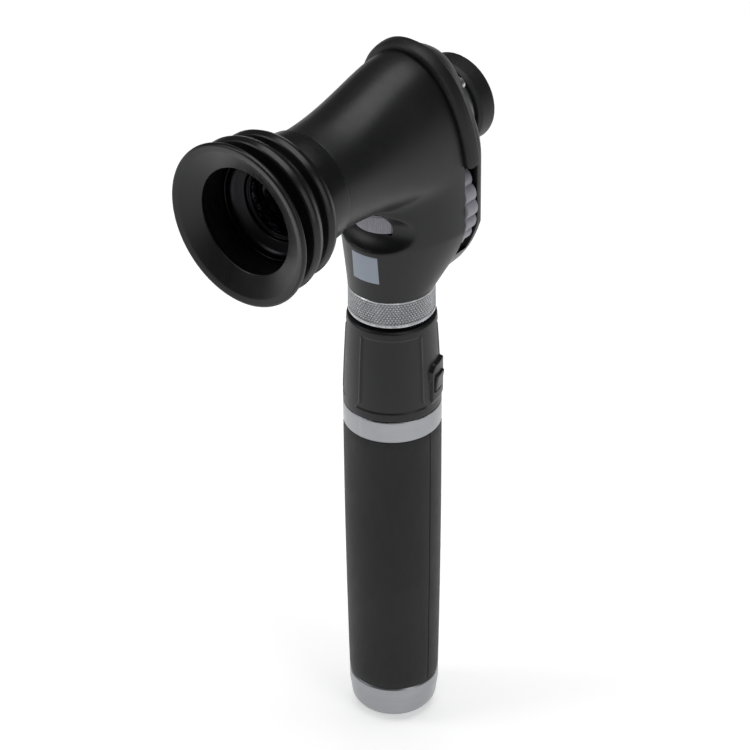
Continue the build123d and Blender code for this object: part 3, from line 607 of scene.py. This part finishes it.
def barrel_loops():
    """Barrel that grows from the eyecup's circle into the crown, and runs on past the parting."""
    steps, rows = 160, 30
    flare = 1.25                 # how late along the barrel the crown grows
    past = 1.1                   # the last loop lies this far past the parting plane
    ring_radius = 16.4
    loops = []
    for row in range(rows + 1):
        share = past * row / rows
        grown = smooth_step(share ** flare, 0.0, 1.0)
        loop = []
        for step in range(steps):
            angle = 2 * pi * step / steps
            crown = arch_point(angle) if step <= steps / 2 else arch_point(angle, reach=CHIN_Z - SIDE_HIGH)
            end = leaned(crown[0], PARTING_Y, crown[1])
            ring = (ring_radius * cos(angle), AXIS_Z + ring_radius * sin(angle))
            loop.append((
                ring[0] + (end[0] - ring[0]) * grown,
                BARREL_FRONT + (end[1] - BARREL_FRONT) * share,
                ring[1] + (end[2] - ring[1]) * grown,
            ))
        loops.append(loop)
    return loops


def lower_loops():
    """Lower body that swells from the round neck into the flat sides."""
    steps, rows = 160, 24
    reach = 25.2                 # half depth of the body at its widest
    loops = []
    swelling = [HEAD_Z + (SIDE_LOW - HEAD_Z) * row / rows for row in range(rows + 1)]
    for z in [HEAD_Z - 3.0, *swelling, SIDE_HIGH]:
        share = min(max((z - HEAD_Z) / (SIDE_LOW - HEAD_Z), 0.0), 1.0)
        grown = 0.9 * share + 0.1 * smooth_step(share, 0.0, 1.0)
        across = NECK_RADIUS + (HALF_WIDTH - NECK_RADIUS) * grown
        deep = NECK_RADIUS + (reach - NECK_RADIUS) * share
        middle = PARTING_Y * share
        loops.append([(across * a, middle + deep * b, z) for a, b in circle(1, steps)])
    return loops


SCOOP_Y = 22.5
SCOOP_Z = HEAD_Z + 24.2
SCOOP_ROUND = 6.9
SCOOP_RING = 32.0 + SCOOP_ROUND


def scoop_tool():
    """Ring that hollows the finger scoop round the aperture dial."""
    section = [(SCOOP_RING + a, SCOOP_Z + b) for a, b in circle(SCOOP_ROUND, 40)]
    return turned_z("scoop", section, steps=160, y=SCOOP_Y)


def scoop_distance(point):
    """How far a point lies from the scoop's surface."""
    ring = hypot(point.x, point.y - SCOOP_Y) - SCOOP_RING
    return abs(hypot(ring, point.z - SCOOP_Z) - SCOOP_ROUND)


def blend_weights(piece, forms, width):
    """How strongly each point is smoothed: fully where the forms meet, not beside the scoop."""
    trees = [surface_tree(form) for form in forms]
    weights = []
    for vertex in piece.data.vertices:
        gap = max(tree.find_nearest(vertex.co)[3] for tree in trees) / MM
        weight = 1 - smooth_step(gap, 0.3 * width, width)
        weights.append(weight * smooth_step(scoop_distance(vertex.co / MM), 1.0, 4.0))
    return weights


def front_space():
    """Everything in front of the parting plane, which leans forward beside the crown."""
    far = 90
    upper = leaned(0, PARTING_Y, SIDE_HIGH + far)
    side = [(-far, HEAD_Z), (PARTING_Y, HEAD_Z), (PARTING_Y, SIDE_HIGH), upper[1:], (-far, upper[2])]
    return lofted("front_space", [[(x, y, z) for y, z in side] for x in (-far, far)])


def make_head_form():
    """Solid form of the front shell, blended where barrel and body meet."""
    voxel = 0.45
    barrel = lofted("barrel", barrel_loops())
    body = lofted("body", lower_loops())
    form = lofted("front_shell_skin", barrel_loops())
    cut(form, lofted("body_copy", lower_loops()), how="UNION")
    cut(form, scoop_tool())
    remesh(form, voxel)
    relax(form, 4)
    relax(form, 240, blend_weights(form, (barrel, body), 13.0))
    relax(form, 6)
    drop(barrel)
    drop(body)
    return form


def make_front_shell():
    shell = make_head_form()
    inner = add_object("inner", shell.data.copy())
    shrink = inner.modifiers.new("shrink", "DISPLACE")
    shrink.strength = -WALL * MM
    shrink.mid_level = 0.0
    remesh(bake(inner), 0.8)
    cut(shell, inner)
    bore = SPIGOT_RADIUS - 1.5
    spigot = [
        (bore, SPIGOT_FRONT, 0.3), (SPIGOT_RADIUS, SPIGOT_FRONT, 0.5),
        (SPIGOT_RADIUS, BARREL_FRONT + 1.2, 0), (bore, BARREL_FRONT + 1.2, 0),
    ]
    cut(shell, turned_y("spigot", rounded(spigot), steps=144), how="UNION")
    cut(shell, rod_y(bore, SPIGOT_FRONT - 5, BARREL_FRONT + 6))
    slot_gap = 0.35
    bottom, top = levels("aperture_dial")
    cut(shell, rod_z(DIAL_RADIUS + slot_gap, bottom - slot_gap, top + slot_gap, y=DIAL_Y))
    cut(shell, front_space(), how="INTERSECT")
    shell.name = "front_shell_skin"
    fit(shell, "head", "front_shell", sharp=42)
    return shell


# ---- Rear cover ----
def back_loop(growth, crown_drop=0.0):
    """Outline (x, z) of the head behind the parting plane, moved outwards by growth."""
    foot = sqrt(NECK_RADIUS ** 2 - PARTING_Y ** 2)
    side = HALF_WIDTH + growth
    hip = (side, SIDE_LOW)
    toe = (foot + growth, HEAD_Z - max(growth, 0))
    swell = 1.5                  # bow of the lower sides
    arch = []
    for step in range(91):
        angle = pi * step / 90
        arch.append(arch_point(angle, growth - crown_drop * smooth_step(sin(angle), 0.05, 0.75)))
    left_side = [(-side, SIDE_HIGH - (SIDE_HIGH - SIDE_LOW) * step / 10) for step in range(1, 10)]
    curve = []
    for step in range(25):
        share = step / 24
        bow = swell * 4 * share * (1 - share)
        x = hip[0] + (toe[0] - hip[0]) * share + bow * 0.82
        z = hip[1] + (toe[1] - hip[1]) * share - bow * 0.5
        curve.append((x, z))
    foot_line = [(-toe[0] + 2 * toe[0] * step / 8, toe[1]) for step in range(1, 8)]
    lower = [(-x, z) for x, z in curve] + foot_line + curve[::-1]
    right_side = [(side, SIDE_LOW + (SIDE_HIGH - SIDE_LOW) * step / 10) for step in range(1, 10)]
    return arch + left_side + lower + right_side


def back_form(name, growths):
    """Solid from pairs of depth and growth, whose crown falls away behind the brow band."""
    fall_start, fall = PARTING_Y + 1.0, 4.0
    loops = []
    for y, growth in growths:
        drop = fall * max(0.0, (y - fall_start) / (BACK_Y - fall_start)) ** 1.4
        loops.append([(x, y, z) for x, z in back_loop(growth, drop)])
    return lofted(name, loops)


def arch_band(name, section, start_angle, ends=None):
    """Leaning bar along the crown's arch, from a section of (depth, growth)."""
    steps = 150
    loops = []
    middle_depth = sum(depth for depth, growth in section) / len(section)
    middle_growth = sum(growth for depth, growth in section) / len(section)
    for step in range(steps + 1):
        angle = start_angle + (pi - 2 * start_angle) * step / steps
        shrink = ends[min(step, steps - step)] if ends and min(step, steps - step) < len(ends) else 1.0
        loop = []
        for depth, growth in section:
            depth = middle_depth + (depth - middle_depth) * shrink
            growth = middle_growth + (growth - middle_growth) * shrink
            x, z = arch_point(angle, growth)
            loop.append(leaned(x, depth, z))
        loops.append(loop)
    return lofted(name, loops)


BAND_LOW = HEAD_Z + 40.7
BAND_REAR = 16.0
BAND_PROUD = 2.2
BAND_SEAT = 1.5


def band_start(level):
    """Angle at which the arch passes a level."""
    return asin(((level - SIDE_HIGH) / (CROWN_Z - SIDE_HIGH)) ** (SQUARENESS / 2))


def make_rear_cover():
    front = PARTING_Y - 6
    edge = 2.6
    turns = 8
    outside = [(front, 0.0), (PARTING_Y, 0.0)]
    outside += [(PARTING_Y + (BACK_Y - edge - PARTING_Y) * s / 6, -0.35 * s / 6) for s in range(1, 7)]
    for turn in range(1, turns + 1):
        angle = pi / 2 * turn / turns
        outside.append((BACK_Y - edge + edge * sin(angle), -0.35 - edge * (1 - cos(angle))))
    cover = back_form("rear_cover_skin", outside)
    hollow_rear = BACK_Y - WALL
    cavity = back_form("cavity", [(front - 1, -WALL), (PARTING_Y, -WALL), (hollow_rear, -WALL - 0.35)])
    cut(cavity, block(-FAR, FAR, -FAR, FAR, BAND_LOW - 0.2, CROWN_Z + FAR))
    cut(cover, cavity)
    deep = BAND_SEAT + 1.8
    cut(cover, back_form("upper_cavity", [(front - 1, -deep), (hollow_rear, -deep)]))
    before, behind, clear = PARTING_Y - 3, BAND_REAR + 0.15, 6
    groove = [(before, -BAND_SEAT), (behind, -BAND_SEAT), (behind, clear), (before, clear)]
    cut(cover, arch_band("groove", groove, band_start(BAND_LOW - 0.1)))
    cut(cover, foot_wedge())
    wheel_room = high("focus_wheel").y + 0.7
    window_low = HEAD_Z + 9.2
    for x_low, x_high in ((-40, -7), (7, 40)):
        cut(cover, block(x_low, x_high, front - 2, wheel_room, window_low, BAND_LOW - 0.3))
    cut(cover, front_space())
    soften_edges(cover, 0.35)
    screw_z, screw_x = sum(levels("cover_screws")) / 2, high("cover_screws").x - 1.9
    counterbore, screw_hole, eyepiece_hole = 2.1, 1.0, 10.7
    for x in (-screw_x, screw_x):
        cut(cover, rod_y(counterbore, BACK_Y - 1.6, BACK_Y + 1, x, screw_z, steps=48))
        cut(cover, rod_y(screw_hole, front, BACK_Y, x, screw_z, steps=32))
    cut(cover, rod_y(eyepiece_hole, front, BACK_Y + 1))
    fit(cover, "head", "rear_cover", sharp=30)


def foot_wedge():
    """Space under the sloping foot of the rear cover."""
    run, rise = BACK_Y - NECK_RADIUS, 5.2
    side = [
        (NECK_RADIUS - run, HEAD_Z - rise), (NECK_RADIUS + 2 * run, HEAD_Z + 2 * rise),
        (NECK_RADIUS + 2 * run, HEAD_Z - 30), (NECK_RADIUS - run, HEAD_Z - 30),
    ]
    return lofted("wedge", [[(x, y, z) for y, z in side] for x in (-FAR, FAR)])


def make_brow_band():
    """Soft brow rest: a thick domed bar let into a groove over the crown."""
    front = PARTING_Y + 0.1
    section = rounded([
        (front, -BAND_SEAT, 0), (front, BAND_PROUD - 0.25, 1.7),
        ((front + BAND_REAR) / 2, BAND_PROUD + 0.02, 6.0), (BAND_REAR, BAND_PROUD - 0.25, 1.7),
        (BAND_REAR, -BAND_SEAT, 0),
    ], steps=8)
    ends = (0.86, 0.95, 0.99)
    band = arch_band("brow_band_pad", section, band_start(BAND_LOW + 0.15), ends)
    fit(band, "head", "brow_band", sharp=50)


# ---- Eyecup ----
def make_eyecup():
    lip_front, lip_rear = depths("eyecup_lip")
    lip_radius = high("eyecup_lip").x
    mouth = 16.2
    valley = 18.8
    lip = rounded([
        (mouth, lip_front + 3.6, 0.5), (lip_radius - 2.6, lip_front + 0.55, 3.0),
        (lip_radius - 0.3, lip_front - 0.05, 0.75), (lip_radius + 0.05, lip_front + 1.5, 0.8),
        (valley, lip_rear - 1.0, 0.8), (valley, lip_rear, 0), (CUP_BORE, lip_rear, 0),
        (CUP_BORE, lip_front + 5.2, 0.9),
    ], steps=8)
    fit(turned_y("eyecup_rim", lip), "eyecup", "eyecup_lip", sharp=60)
    front, rear = depths("eyecup_bellows")
    second = high("eyecup_bellows").x
    third = second - 1.2
    gap = (lip_rear + rear) / 2 + 0.4
    bellows = rounded([
        (CUP_BORE, front, 0), (valley, front, 0.4), (second - 0.6, front + 0.5, 1.0),
        (second + 0.1, front + 2.4, 1.4), (second - 0.7, front + 4.2, 1.0), (valley, gap - 0.1, 0.7),
        (third - 0.6, gap + 0.7, 1.0),
        (third + 0.1, gap + 2.5, 1.4), (third - 0.8, gap + 4.3, 1.0), (CUP_BORE + 1.2, rear - 0.5, 0.8),
        (CUP_BORE + 1.2, rear, 0), (CUP_BORE - 1.0, rear, 0), (CUP_BORE - 1.0, SPIGOT_FRONT - 0.6, 0.2),
        (CUP_BORE, SPIGOT_FRONT - 1.4, 0.6),
    ])
    folds = fit(turned_y("eyecup_folds", bellows), "head", "eyecup_bellows", sharp=60)
    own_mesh(folds)
    sleeve_front, sleeve_rear = depths("eyecup_collar")
    outer, inner, seat = high("eyecup_collar").x, SPIGOT_RADIUS + 1.3, sleeve_rear - 0.4
    sleeve = rounded([
        (SPIGOT_RADIUS, sleeve_front, 0), (outer, sleeve_front, 0.2), (outer, sleeve_rear, 0.7),
        (inner, sleeve_rear, 0.1), (inner, seat, 0), (SPIGOT_RADIUS, seat, 0),
    ])
    fit(turned_y("eyecup_sleeve", sleeve), "head", "eyecup_collar", sharp=50)


def make_objective_ring():
    """Retaining ring whose smooth funnel lines the bottom of the eyecup."""
    front, rear = depths("objective_retainer")
    outer = high("objective_retainer").x
    bore, mouth = 10.4, 16.2
    profile = rounded([
        (outer, front - 0.1, 0), (outer, rear, 0), (bore, rear, 0), (bore, front + 0.2, 0.3),
        (bore + 1.0, front + 0.1, 0.3), (bore + 1.3, front - 0.9, 0.4), (mouth - 0.9, front - 2.2, 2.0),
        (mouth - 0.4, front - 4.4, 0.2), (mouth, front - 4.4, 0.2), (mouth, front - 2.0, 0.8),
        (SPIGOT_RADIUS - 0.3, front - 0.1, 0.2),
    ])
    fit(turned_y("objective_ring", profile), "head", "objective_retainer", sharp=40)


# ---- Knurled collar ----
def make_knurled_collar():
    top, bottom, radius = HEAD_Z, COLLAR_Z, NECK_RADIUS
    knurl_low, knurl_high = bottom + 1.35, top - 0.75
    flange_top = bottom + 2.9
    bore, cup = 7.56, 9.7
    diamonds, steps_each, rows = 84, 6, 44
    depth, slope = 0.3, 0.62
    pitch = 2 * pi * radius / diamonds

    def section(angle):
        column = [(bore, flange_top), (bore, bottom), (radius - 0.35, bottom), (radius, bottom + 0.3)]
        column += [(radius, knurl_low - 0.12)]
        count = angle * diamonds / (2 * pi)
        for row in range(rows + 1):
            z = knurl_low + (knurl_high - knurl_low) * row / rows
            climb = (z - knurl_low) / pitch * slope
            lines = (count + climb, count - climb)
            groove = max(smooth_step(abs(line % 1 - 0.5), 0.24, 0.5) for line in lines)
            column.append((radius - 0.05 - depth * groove, z))
        column += [(radius, knurl_high + 0.12), (radius, top - 0.25), (radius - 0.25, top), (cup, top)]
        return column + [(cup, flange_top)]

    collar = turned_z("knurled_collar", section, steps=diamonds * steps_each)
    fit(collar, "head", "socket_ring", sharp=32)


# ---- Brightness sleeve and its button ----
BUTTON_ANGLE = radians(16.5)
BUTTON_Z = SLEEVE_Z + 9.7
PANELS = (radians(-51), radians(69), radians(189))


def apart(first, second):
    """Signed angle from the second direction to the first, between -pi and pi."""
    return (first - second + pi) % (2 * pi) - pi


def sleeve_radius(angle, z):
    """Outside of the sleeve: a barrel with three flat panels, their ridges and a raised tab."""
    share = (z - SLEEVE_Z) / (SLEEVE_TOP - SLEEVE_Z)
    base = 15.0 - 1.4 * share ** 1.45
    panel_half = radians(39)
    panel_low, panel_high = SLEEVE_Z + 3.2, SLEEVE_TOP - 3.0
    lift = 0.0
    for middle in PANELS:
        foot = max(0.0, 1 - (z - panel_low) / 2.6)
        edge = (abs(apart(angle, middle)) - panel_half) * base - 1.5 * foot ** 2
        along = smooth_step(z, panel_low - 0.6, panel_low)
        along *= 1 - smooth_step(z, panel_high - 0.3, panel_high + 0.3)
        inside = 1 - smooth_step(edge, -0.25, 0.25)
        lift -= 0.26 * inside * along
        lift += 0.27 * exp(-((edge - 0.1) / 0.34) ** 2) * along
    across = apart(angle, BUTTON_ANGLE) * base
    height = z - BUTTON_Z
    left = smooth_step(across, -4.1, -3.7) * (1 - smooth_step(height - 1.15 * (across + 3.9), 4.4, 4.9))
    tab = left * (1 - smooth_step(across, 3.6, 4.1)) * smooth_step(height, -7.0, -5.4)
    tab *= 1 - smooth_step(height, 6.4, 6.9)
    flat = 15.62 - (base + lift)
    rim = 0.75 * (1 - sqrt(max(0.0, 1 - max(0.0, (z - SLEEVE_TOP + 1.0)) ** 2)))
    hem = 0.3 * (1 - smooth_step(z, SLEEVE_Z, SLEEVE_Z + 0.35))
    return base + lift + max(flat, 0.0) * tab - rim - hem


def make_sleeve():
    rows = 130
    inside, post, roof = 12.0, 7.56, SLEEVE_TOP - 3

    def section(angle):
        heights = [SLEEVE_Z + (SLEEVE_TOP - SLEEVE_Z) * (row / rows) for row in range(rows + 1)]
        outside = [(sleeve_radius(angle, z), z) for z in heights]
        return outside + [(post, SLEEVE_TOP), (post, roof), (inside, roof), (inside, SLEEVE_Z)]

    sleeve = turned_z("brightness_sleeve", section, steps=400)
    side, end, outside = 2.6, 3.1, 20
    hole = block(inside - 2, outside, -side, side, BUTTON_Z - end, BUTTON_Z + end)
    relief = block(14.6, outside, -side - 0.7, side, BUTTON_Z - end + 0.3, BUTTON_Z + end - 0.6)
    for tool in (hole, relief):
        tool.data.transform(Matrix.Rotation(BUTTON_ANGLE, 4, "Z"))
    cut(sleeve, hole, relief)
    fit(sleeve, "rheostat", "rheostat_sleeve", sharp=38)


def make_button():
    """Lock button: a square key whose upper outer edge is hooked for the thumb nail."""
    inner, outer = 11.1, 16.3
    half_width, half_length = 2.5, 3.0
    side = rounded([
        (inner, -half_length, 0), (outer - 0.75, -half_length, 0.5), (outer - 0.55, -half_length * 0.2, 2.5),
        (outer - 0.25, half_length * 0.45, 1.5), (outer, half_length, 0.45), (inner, half_length, 0),
    ])
    loops = []
    for across, inset in ((-1, 0.35), (-0.93, 0.1), (-0.82, 0.0), (0.82, 0.0), (0.93, 0.1), (1, 0.35)):
        y, shrink = across * half_width, 1 - inset / half_length
        loops.append([(max(inner, x - inset), y, BUTTON_Z + z * shrink) for x, z in side])
    key = lofted("lock_button_key", loops)
    thick, wide, tall = 0.45, half_width + 0.55, half_length + 0.55
    foot = block(inner - thick, inner + thick, -wide, wide, BUTTON_Z - tall, BUTTON_Z + tall)
    cut(key, foot, how="UNION")
    key.data.transform(Matrix.Rotation(BUTTON_ANGLE, 4, "Z"))
    fit(key, "lock_button", "lock_button", sharp=40)


# ---- Grip, ring and cap ----
def grip_radius(z):
    """Outside of the grip: fullest at the top, drawn in towards the cap."""
    share = (z - CAP_TOP) / (RING_Z - CAP_TOP)
    return 13.95 + 1.1 * sin(share * pi / 2) ** 0.9 * (1 - 0.05 * share)


def make_grip_half(name, start, node):
    steps, rows = 150, 60
    seam = radians(0.75)
    inside = TUBE_RADIUS
    loops = []
    for step in range(steps + 1):
        share = step / steps
        eased = share - 0.42 * sin(2 * pi * share) / (2 * pi)
        angle = start + pi * eased
        gap = min(angle - start, start + pi - angle)
        notch = 0.42 * (1 - smooth_step(gap, 0.0, seam))
        column = []
        for row in range(rows + 1):
            z = CAP_TOP + (RING_Z - CAP_TOP) * row / rows
            ends = 0.22 * max(0.0, 1 - min(z - CAP_TOP, RING_Z - z) / 0.3) ** 2
            column.append((grip_radius(z) - notch - ends, z))
        column += [(inside, RING_Z), (inside, CAP_TOP)]
        loops.append([(r * cos(angle), r * sin(angle), z) for r, z in column])
    fit(lofted(name, loops), "handle", node, sharp=40)


def make_trim_ring():
    radius, top = high("trim_ring").x, high("trim_ring").z
    step, seat = TUBE_RADIUS + 0.9, top - 0.35
    profile = rounded([
        (TUBE_RADIUS, RING_Z, 0), (radius, RING_Z, 0.28), (radius, top, 0.42), (step + 0.2, top - 0.05, 0.1),
        (step, seat, 0.1), (TUBE_RADIUS, seat, 0),
    ], steps=5)
    fit(turned_z("steel_trim_ring", profile), "handle", "trim_ring", sharp=50)


def make_base_cap():
    """Screwed base cap with its round foot, charging socket and spring seat."""
    radius = high("base_cap").x
    top = CAP_TOP - 0.1
    spigot_top = high("base_cap").z
    spigot = TUBE_RADIUS - 1.05
    hollow = spigot - 2.2
    contact = high("charge_contact").x
    seat = high("charge_contact").z
    socket, socket_depth = 3.0, low("charge_contact").z - 0.1
    profile = rounded([
        (socket, 0.0, 0.25), (7.2, 0.0, 0.6), (radius * 0.93, 1.9, 6.0), (radius, top - 3.5, 6.0),
        (radius, top - 0.5, 0.3), (radius - 0.35, top, 0.25), (spigot, top, 0), (spigot, spigot_top, 0.4),
        (hollow, spigot_top, 0.2), (hollow, seat, 0.3), (contact, seat, 0), (contact, socket_depth, 0),
        (socket, socket_depth, 0),
    ], steps=10)
    fit(turned_z("base_cap_shell", profile), "cap", "base_cap", sharp=45)


# ---- Focus wheel and aperture dial ----
def make_focus_wheel():
    """Thumb wheel with broad shallow lobes, a recessed back and a hub."""
    front, rear = depths("focus_wheel")
    lobes, each, depth = 24, 12, 1.05
    bore, hub, well = 1.55, 4.0, WHEEL_RADIUS - 3.5

    def section(angle):
        rim = WHEEL_RADIUS - depth * (1 - abs(cos(lobes * angle / 2))) ** 1.4
        return [
            (bore, front), (well - 1, front), (well - 0.6, front + 0.3), (well + 0.2, front + 0.3),
            (well + 0.6, front), (rim - 0.55, front), (rim - 0.16, front + 0.12), (rim, front + 0.5),
            (rim, (front + rear) / 2), (rim, rear - 0.5), (rim - 0.16, rear - 0.12), (rim - 0.55, rear),
            (well + 0.2, rear), (well, rear - 0.2), (well - 0.1, rear - 1.6), (hub + 0.1, rear - 1.6),
            (hub, rear - 0.2), (hub - 0.2, rear), (bore, rear),
        ]

    wheel = turned_y("focus_thumb_wheel", section, steps=lobes * each, z=WHEEL_Z)
    fit(wheel, "focus_wheel", "focus_wheel")


def make_aperture_dial():
    """Dial with a fine upright rib every few degrees and its ring of aperture holes."""
    bottom, top = levels("aperture_dial")
    web_low, web_high = bottom + 2.2, bottom + 3.8
    ribs, each, depth = 88, 6, 0.2
    bore, hub, inner = 1.05, 2.6, DIAL_RADIUS - 1.6
    rim, chamfer = DIAL_RADIUS - depth, DIAL_RADIUS - 0.25

    def section(angle):
        groove = depth * smooth_step(abs(angle * ribs / (2 * pi) % 1 - 0.5), 0.18, 0.42)
        outer = DIAL_RADIUS - groove
        return [
            (bore, bottom + 0.2), (hub, bottom), (hub, web_low), (inner, web_low), (inner, bottom),
            (DIAL_RADIUS - 0.55, bottom), (chamfer, bottom + 0.2), (rim, bottom + 0.55),
            (outer, bottom + 0.7), (outer, top - 0.7), (rim, top - 0.55), (chamfer, top - 0.2),
            (DIAL_RADIUS - 0.55, top), (inner, top), (inner, web_high), (hub, web_high), (hub, top),
            (bore, top - 0.2),
        ]

    dial = turned_z("ribbed_dial", section, steps=ribs * each, y=DIAL_Y)
    circle_radius, holes = 5.0, (2.0, 1.5, 1.0, 0.6, 1.9)
    for index, hole in enumerate(holes):
        angle = pi / 2 + 2 * pi / 5 * index
        x, y = circle_radius * cos(angle), DIAL_Y + circle_radius * sin(angle)
        cut(dial, rod_z(hole, web_low - 0.5, web_high + 0.5, x, y, steps=32))
    fit(dial, "aperture_dial", "aperture_dial")


# ---- Eyepiece ----
def make_eyepiece():
    front, rear = depths("eyepiece_cup")
    radius = high("eyepiece_cup").x
    seat, lens = 10.7, 8.5
    cup = rounded([
        (seat, front, 0), (radius - 0.6, front, 0.6), (radius, front + 1.6, 1.2), (radius, rear - 0.6, 1.1),
        (radius - 1.6, rear, 0.8), (lens + 2.0, rear - 2.0, 2.0), (lens, front + 2.5, 0.4),
        (seat, front + 2.5, 0),
    ], steps=8)
    fit(turned_y("eyepiece_eyecup", cup, steps=160), "head", "eyepiece_cup", sharp=50)
    front, rear = depths("eyepiece_tube")
    ring, flange_rear = high("eyepiece_tube").x, BACK_Y + 4
    neck, bore, stop, groove = ring - 1.6, 8.0, 6.5, ring - 0.3
    tube = rounded([
        (stop, front, 0), (neck, front, 0), (neck, BACK_Y, 0), (ring, BACK_Y, 0.3),
        (ring, BACK_Y + 1.6, 0.15), (groove, BACK_Y + 1.8, 0.1), (groove, BACK_Y + 2.2, 0.1),
        (ring, BACK_Y + 2.4, 0.15), (ring, flange_rear, 0.45), (neck, flange_rear, 0), (neck, rear, 0.3),
        (bore, rear, 0.3),
        (bore, BACK_Y, 0), (stop, BACK_Y, 0),
    ], steps=4)
    fit(turned_y("eyepiece_ring", tube, steps=160), "head", "eyepiece_tube", sharp=45)


# ---- Label ----
def make_badge(shell):
    """Printed square, laid on the shell just above the collar."""
    left, right = low("badge").x, high("badge").x
    bottom, top = levels("badge")
    steps, thickness, clear = 30, 0.09, 0.01
    tree = surface_tree(shell)
    points, faces = [], []
    for layer in (0.0, thickness):
        for row in range(steps + 1):
            for column in range(steps + 1):
                x = left + (right - left) * column / steps
                z = bottom + (top - bottom) * row / steps
                place, normal = tree.ray_cast(Vector((x, -FAR, z)) * MM, Vector((0, 1, 0)))[:2]
                at_edge = column in (0, steps) or row in (0, steps)
                points.append(tuple(place / MM + normal * (layer * (0.5 if at_edge else 1.0) + clear)))
    across = steps + 1
    layer_size = across * across
    for row in range(steps):
        for column in range(steps):
            a = row * across + column
            quad = (a, a + 1, a + across + 1, a + across)
            faces += [quad, tuple(layer_size + index for index in reversed(quad))]
    rim = list(range(steps)) + [steps + row * across for row in range(steps)]
    rim += [steps * across + column for column in range(steps, 0, -1)]
    rim += [row * across for row in range(steps, 0, -1)]
    for index, a in enumerate(rim):
        b = rim[(index + 1) % len(rim)]
        faces.append((a, b, layer_size + b, layer_size + a))
    fit(add_mesh("label", points, faces), "head", "badge", sharp=60)


# ---- Camera, floor and light ----
def make_camera():
    """Looks down at the object from its front left, as it stands on its cap."""
    azimuth, pitch, roll = radians(40.79), radians(33.27), radians(-0.51)
    distance, aside, above = 1217.9 * MM, 5.21 * MM, -12.38 * MM
    target = Vector((0, 0, RING_Z * MM))
    right = Vector((cos(azimuth), sin(azimuth), 0))
    level = Vector((-sin(azimuth), cos(azimuth), 0))
    forward = level * cos(pitch) - Vector((0, 0, sin(pitch)))
    up = right.cross(forward)
    data = bpy.data.cameras.new("camera")
    data.sensor_width = 36
    data.lens = 192
    data.clip_start, data.clip_end = 0.05, 20
    camera = add_object("camera", data)
    turned_right = right * cos(roll) + up * sin(roll)
    turned_up = up * cos(roll) - right * sin(roll)
    axes = Matrix((turned_right, turned_up, -forward)).transposed().to_4x4()
    place = target - right * aside - up * above - forward * distance
    camera.matrix_world = Matrix.Translation(place) @ axes
    SCENE.camera = camera


def area_light(name, place, aim, size, power):
    data = bpy.data.lights.new(name, "AREA")
    data.shape = "RECTANGLE"
    data.size, data.size_y = size
    data.energy = power
    light = add_object(name, data)
    light.location = place
    light.rotation_mode = "QUATERNION"
    light.rotation_quaternion = (Vector(place) - Vector(aim)).to_track_quat("Z", "Y")


def make_floor():
    """Pale paper the instrument stands on."""
    side = 6.0
    mesh = bpy.data.meshes.new("floor")
    corners = [(-side, -side, 0), (side, -side, 0), (side, side, 0), (-side, side, 0)]
    mesh.from_pydata(corners, [], [(0, 1, 2, 3)])
    floor = add_object("floor", mesh)
    material, tree = start_finish("pale_paper")
    fibres = noise(tree, object_place(tree), 900.0, 5.0, 0.7)
    paper = mix_colour(tree, fibres, (0.93, 0.93, 0.93), (0.95, 0.95, 0.95))
    mesh.materials.append(complete(material, paper, 0.9, Emission_Color=(1, 1, 1, 1), Emission_Strength=0.42))


def make_studio():
    make_floor()
    world = bpy.data.worlds.new("studio")
    world.use_nodes = True
    tree = world.node_tree
    sky = tree.nodes["Background"]
    seen = tree.nodes.new("ShaderNodeLightPath").outputs["Is Camera Ray"]
    tree.links.new(remap(tree, seen, 0.0, 1.0, 0.1, 1.0), sky.inputs["Strength"])
    sky.inputs["Color"].default_value = (1, 1, 1, 1)
    SCENE.world = world
    SCENE.view_settings.view_transform = "Standard"
    head = (0, 0, AXIS_Z * MM)
    area_light("top_softbox", (0.0, 0.1, 1.5), (0, 0, 0), (1.2, 1.2), 13)
    area_light("key_softbox", (-0.75, -0.75, 0.95), head, (0.5, 0.7), 3.5)
    area_light("side_softbox", (0.95, -0.15, 0.55), head, (0.4, 0.8), 1.8)


make_camera()
make_studio()
dress_frame()
front_shell = make_front_shell()
make_rear_cover()
make_brow_band()
make_eyecup()
make_objective_ring()
make_knurled_collar()
make_sleeve()
make_button()
make_grip_half("grip_front", pi, "grip_shell_front")
make_grip_half("grip_rear", 0.0, "grip_shell_rear")
make_trim_ring()
make_base_cap()
make_focus_wheel()
make_aperture_dial()
make_eyepiece()
make_badge(front_shell)
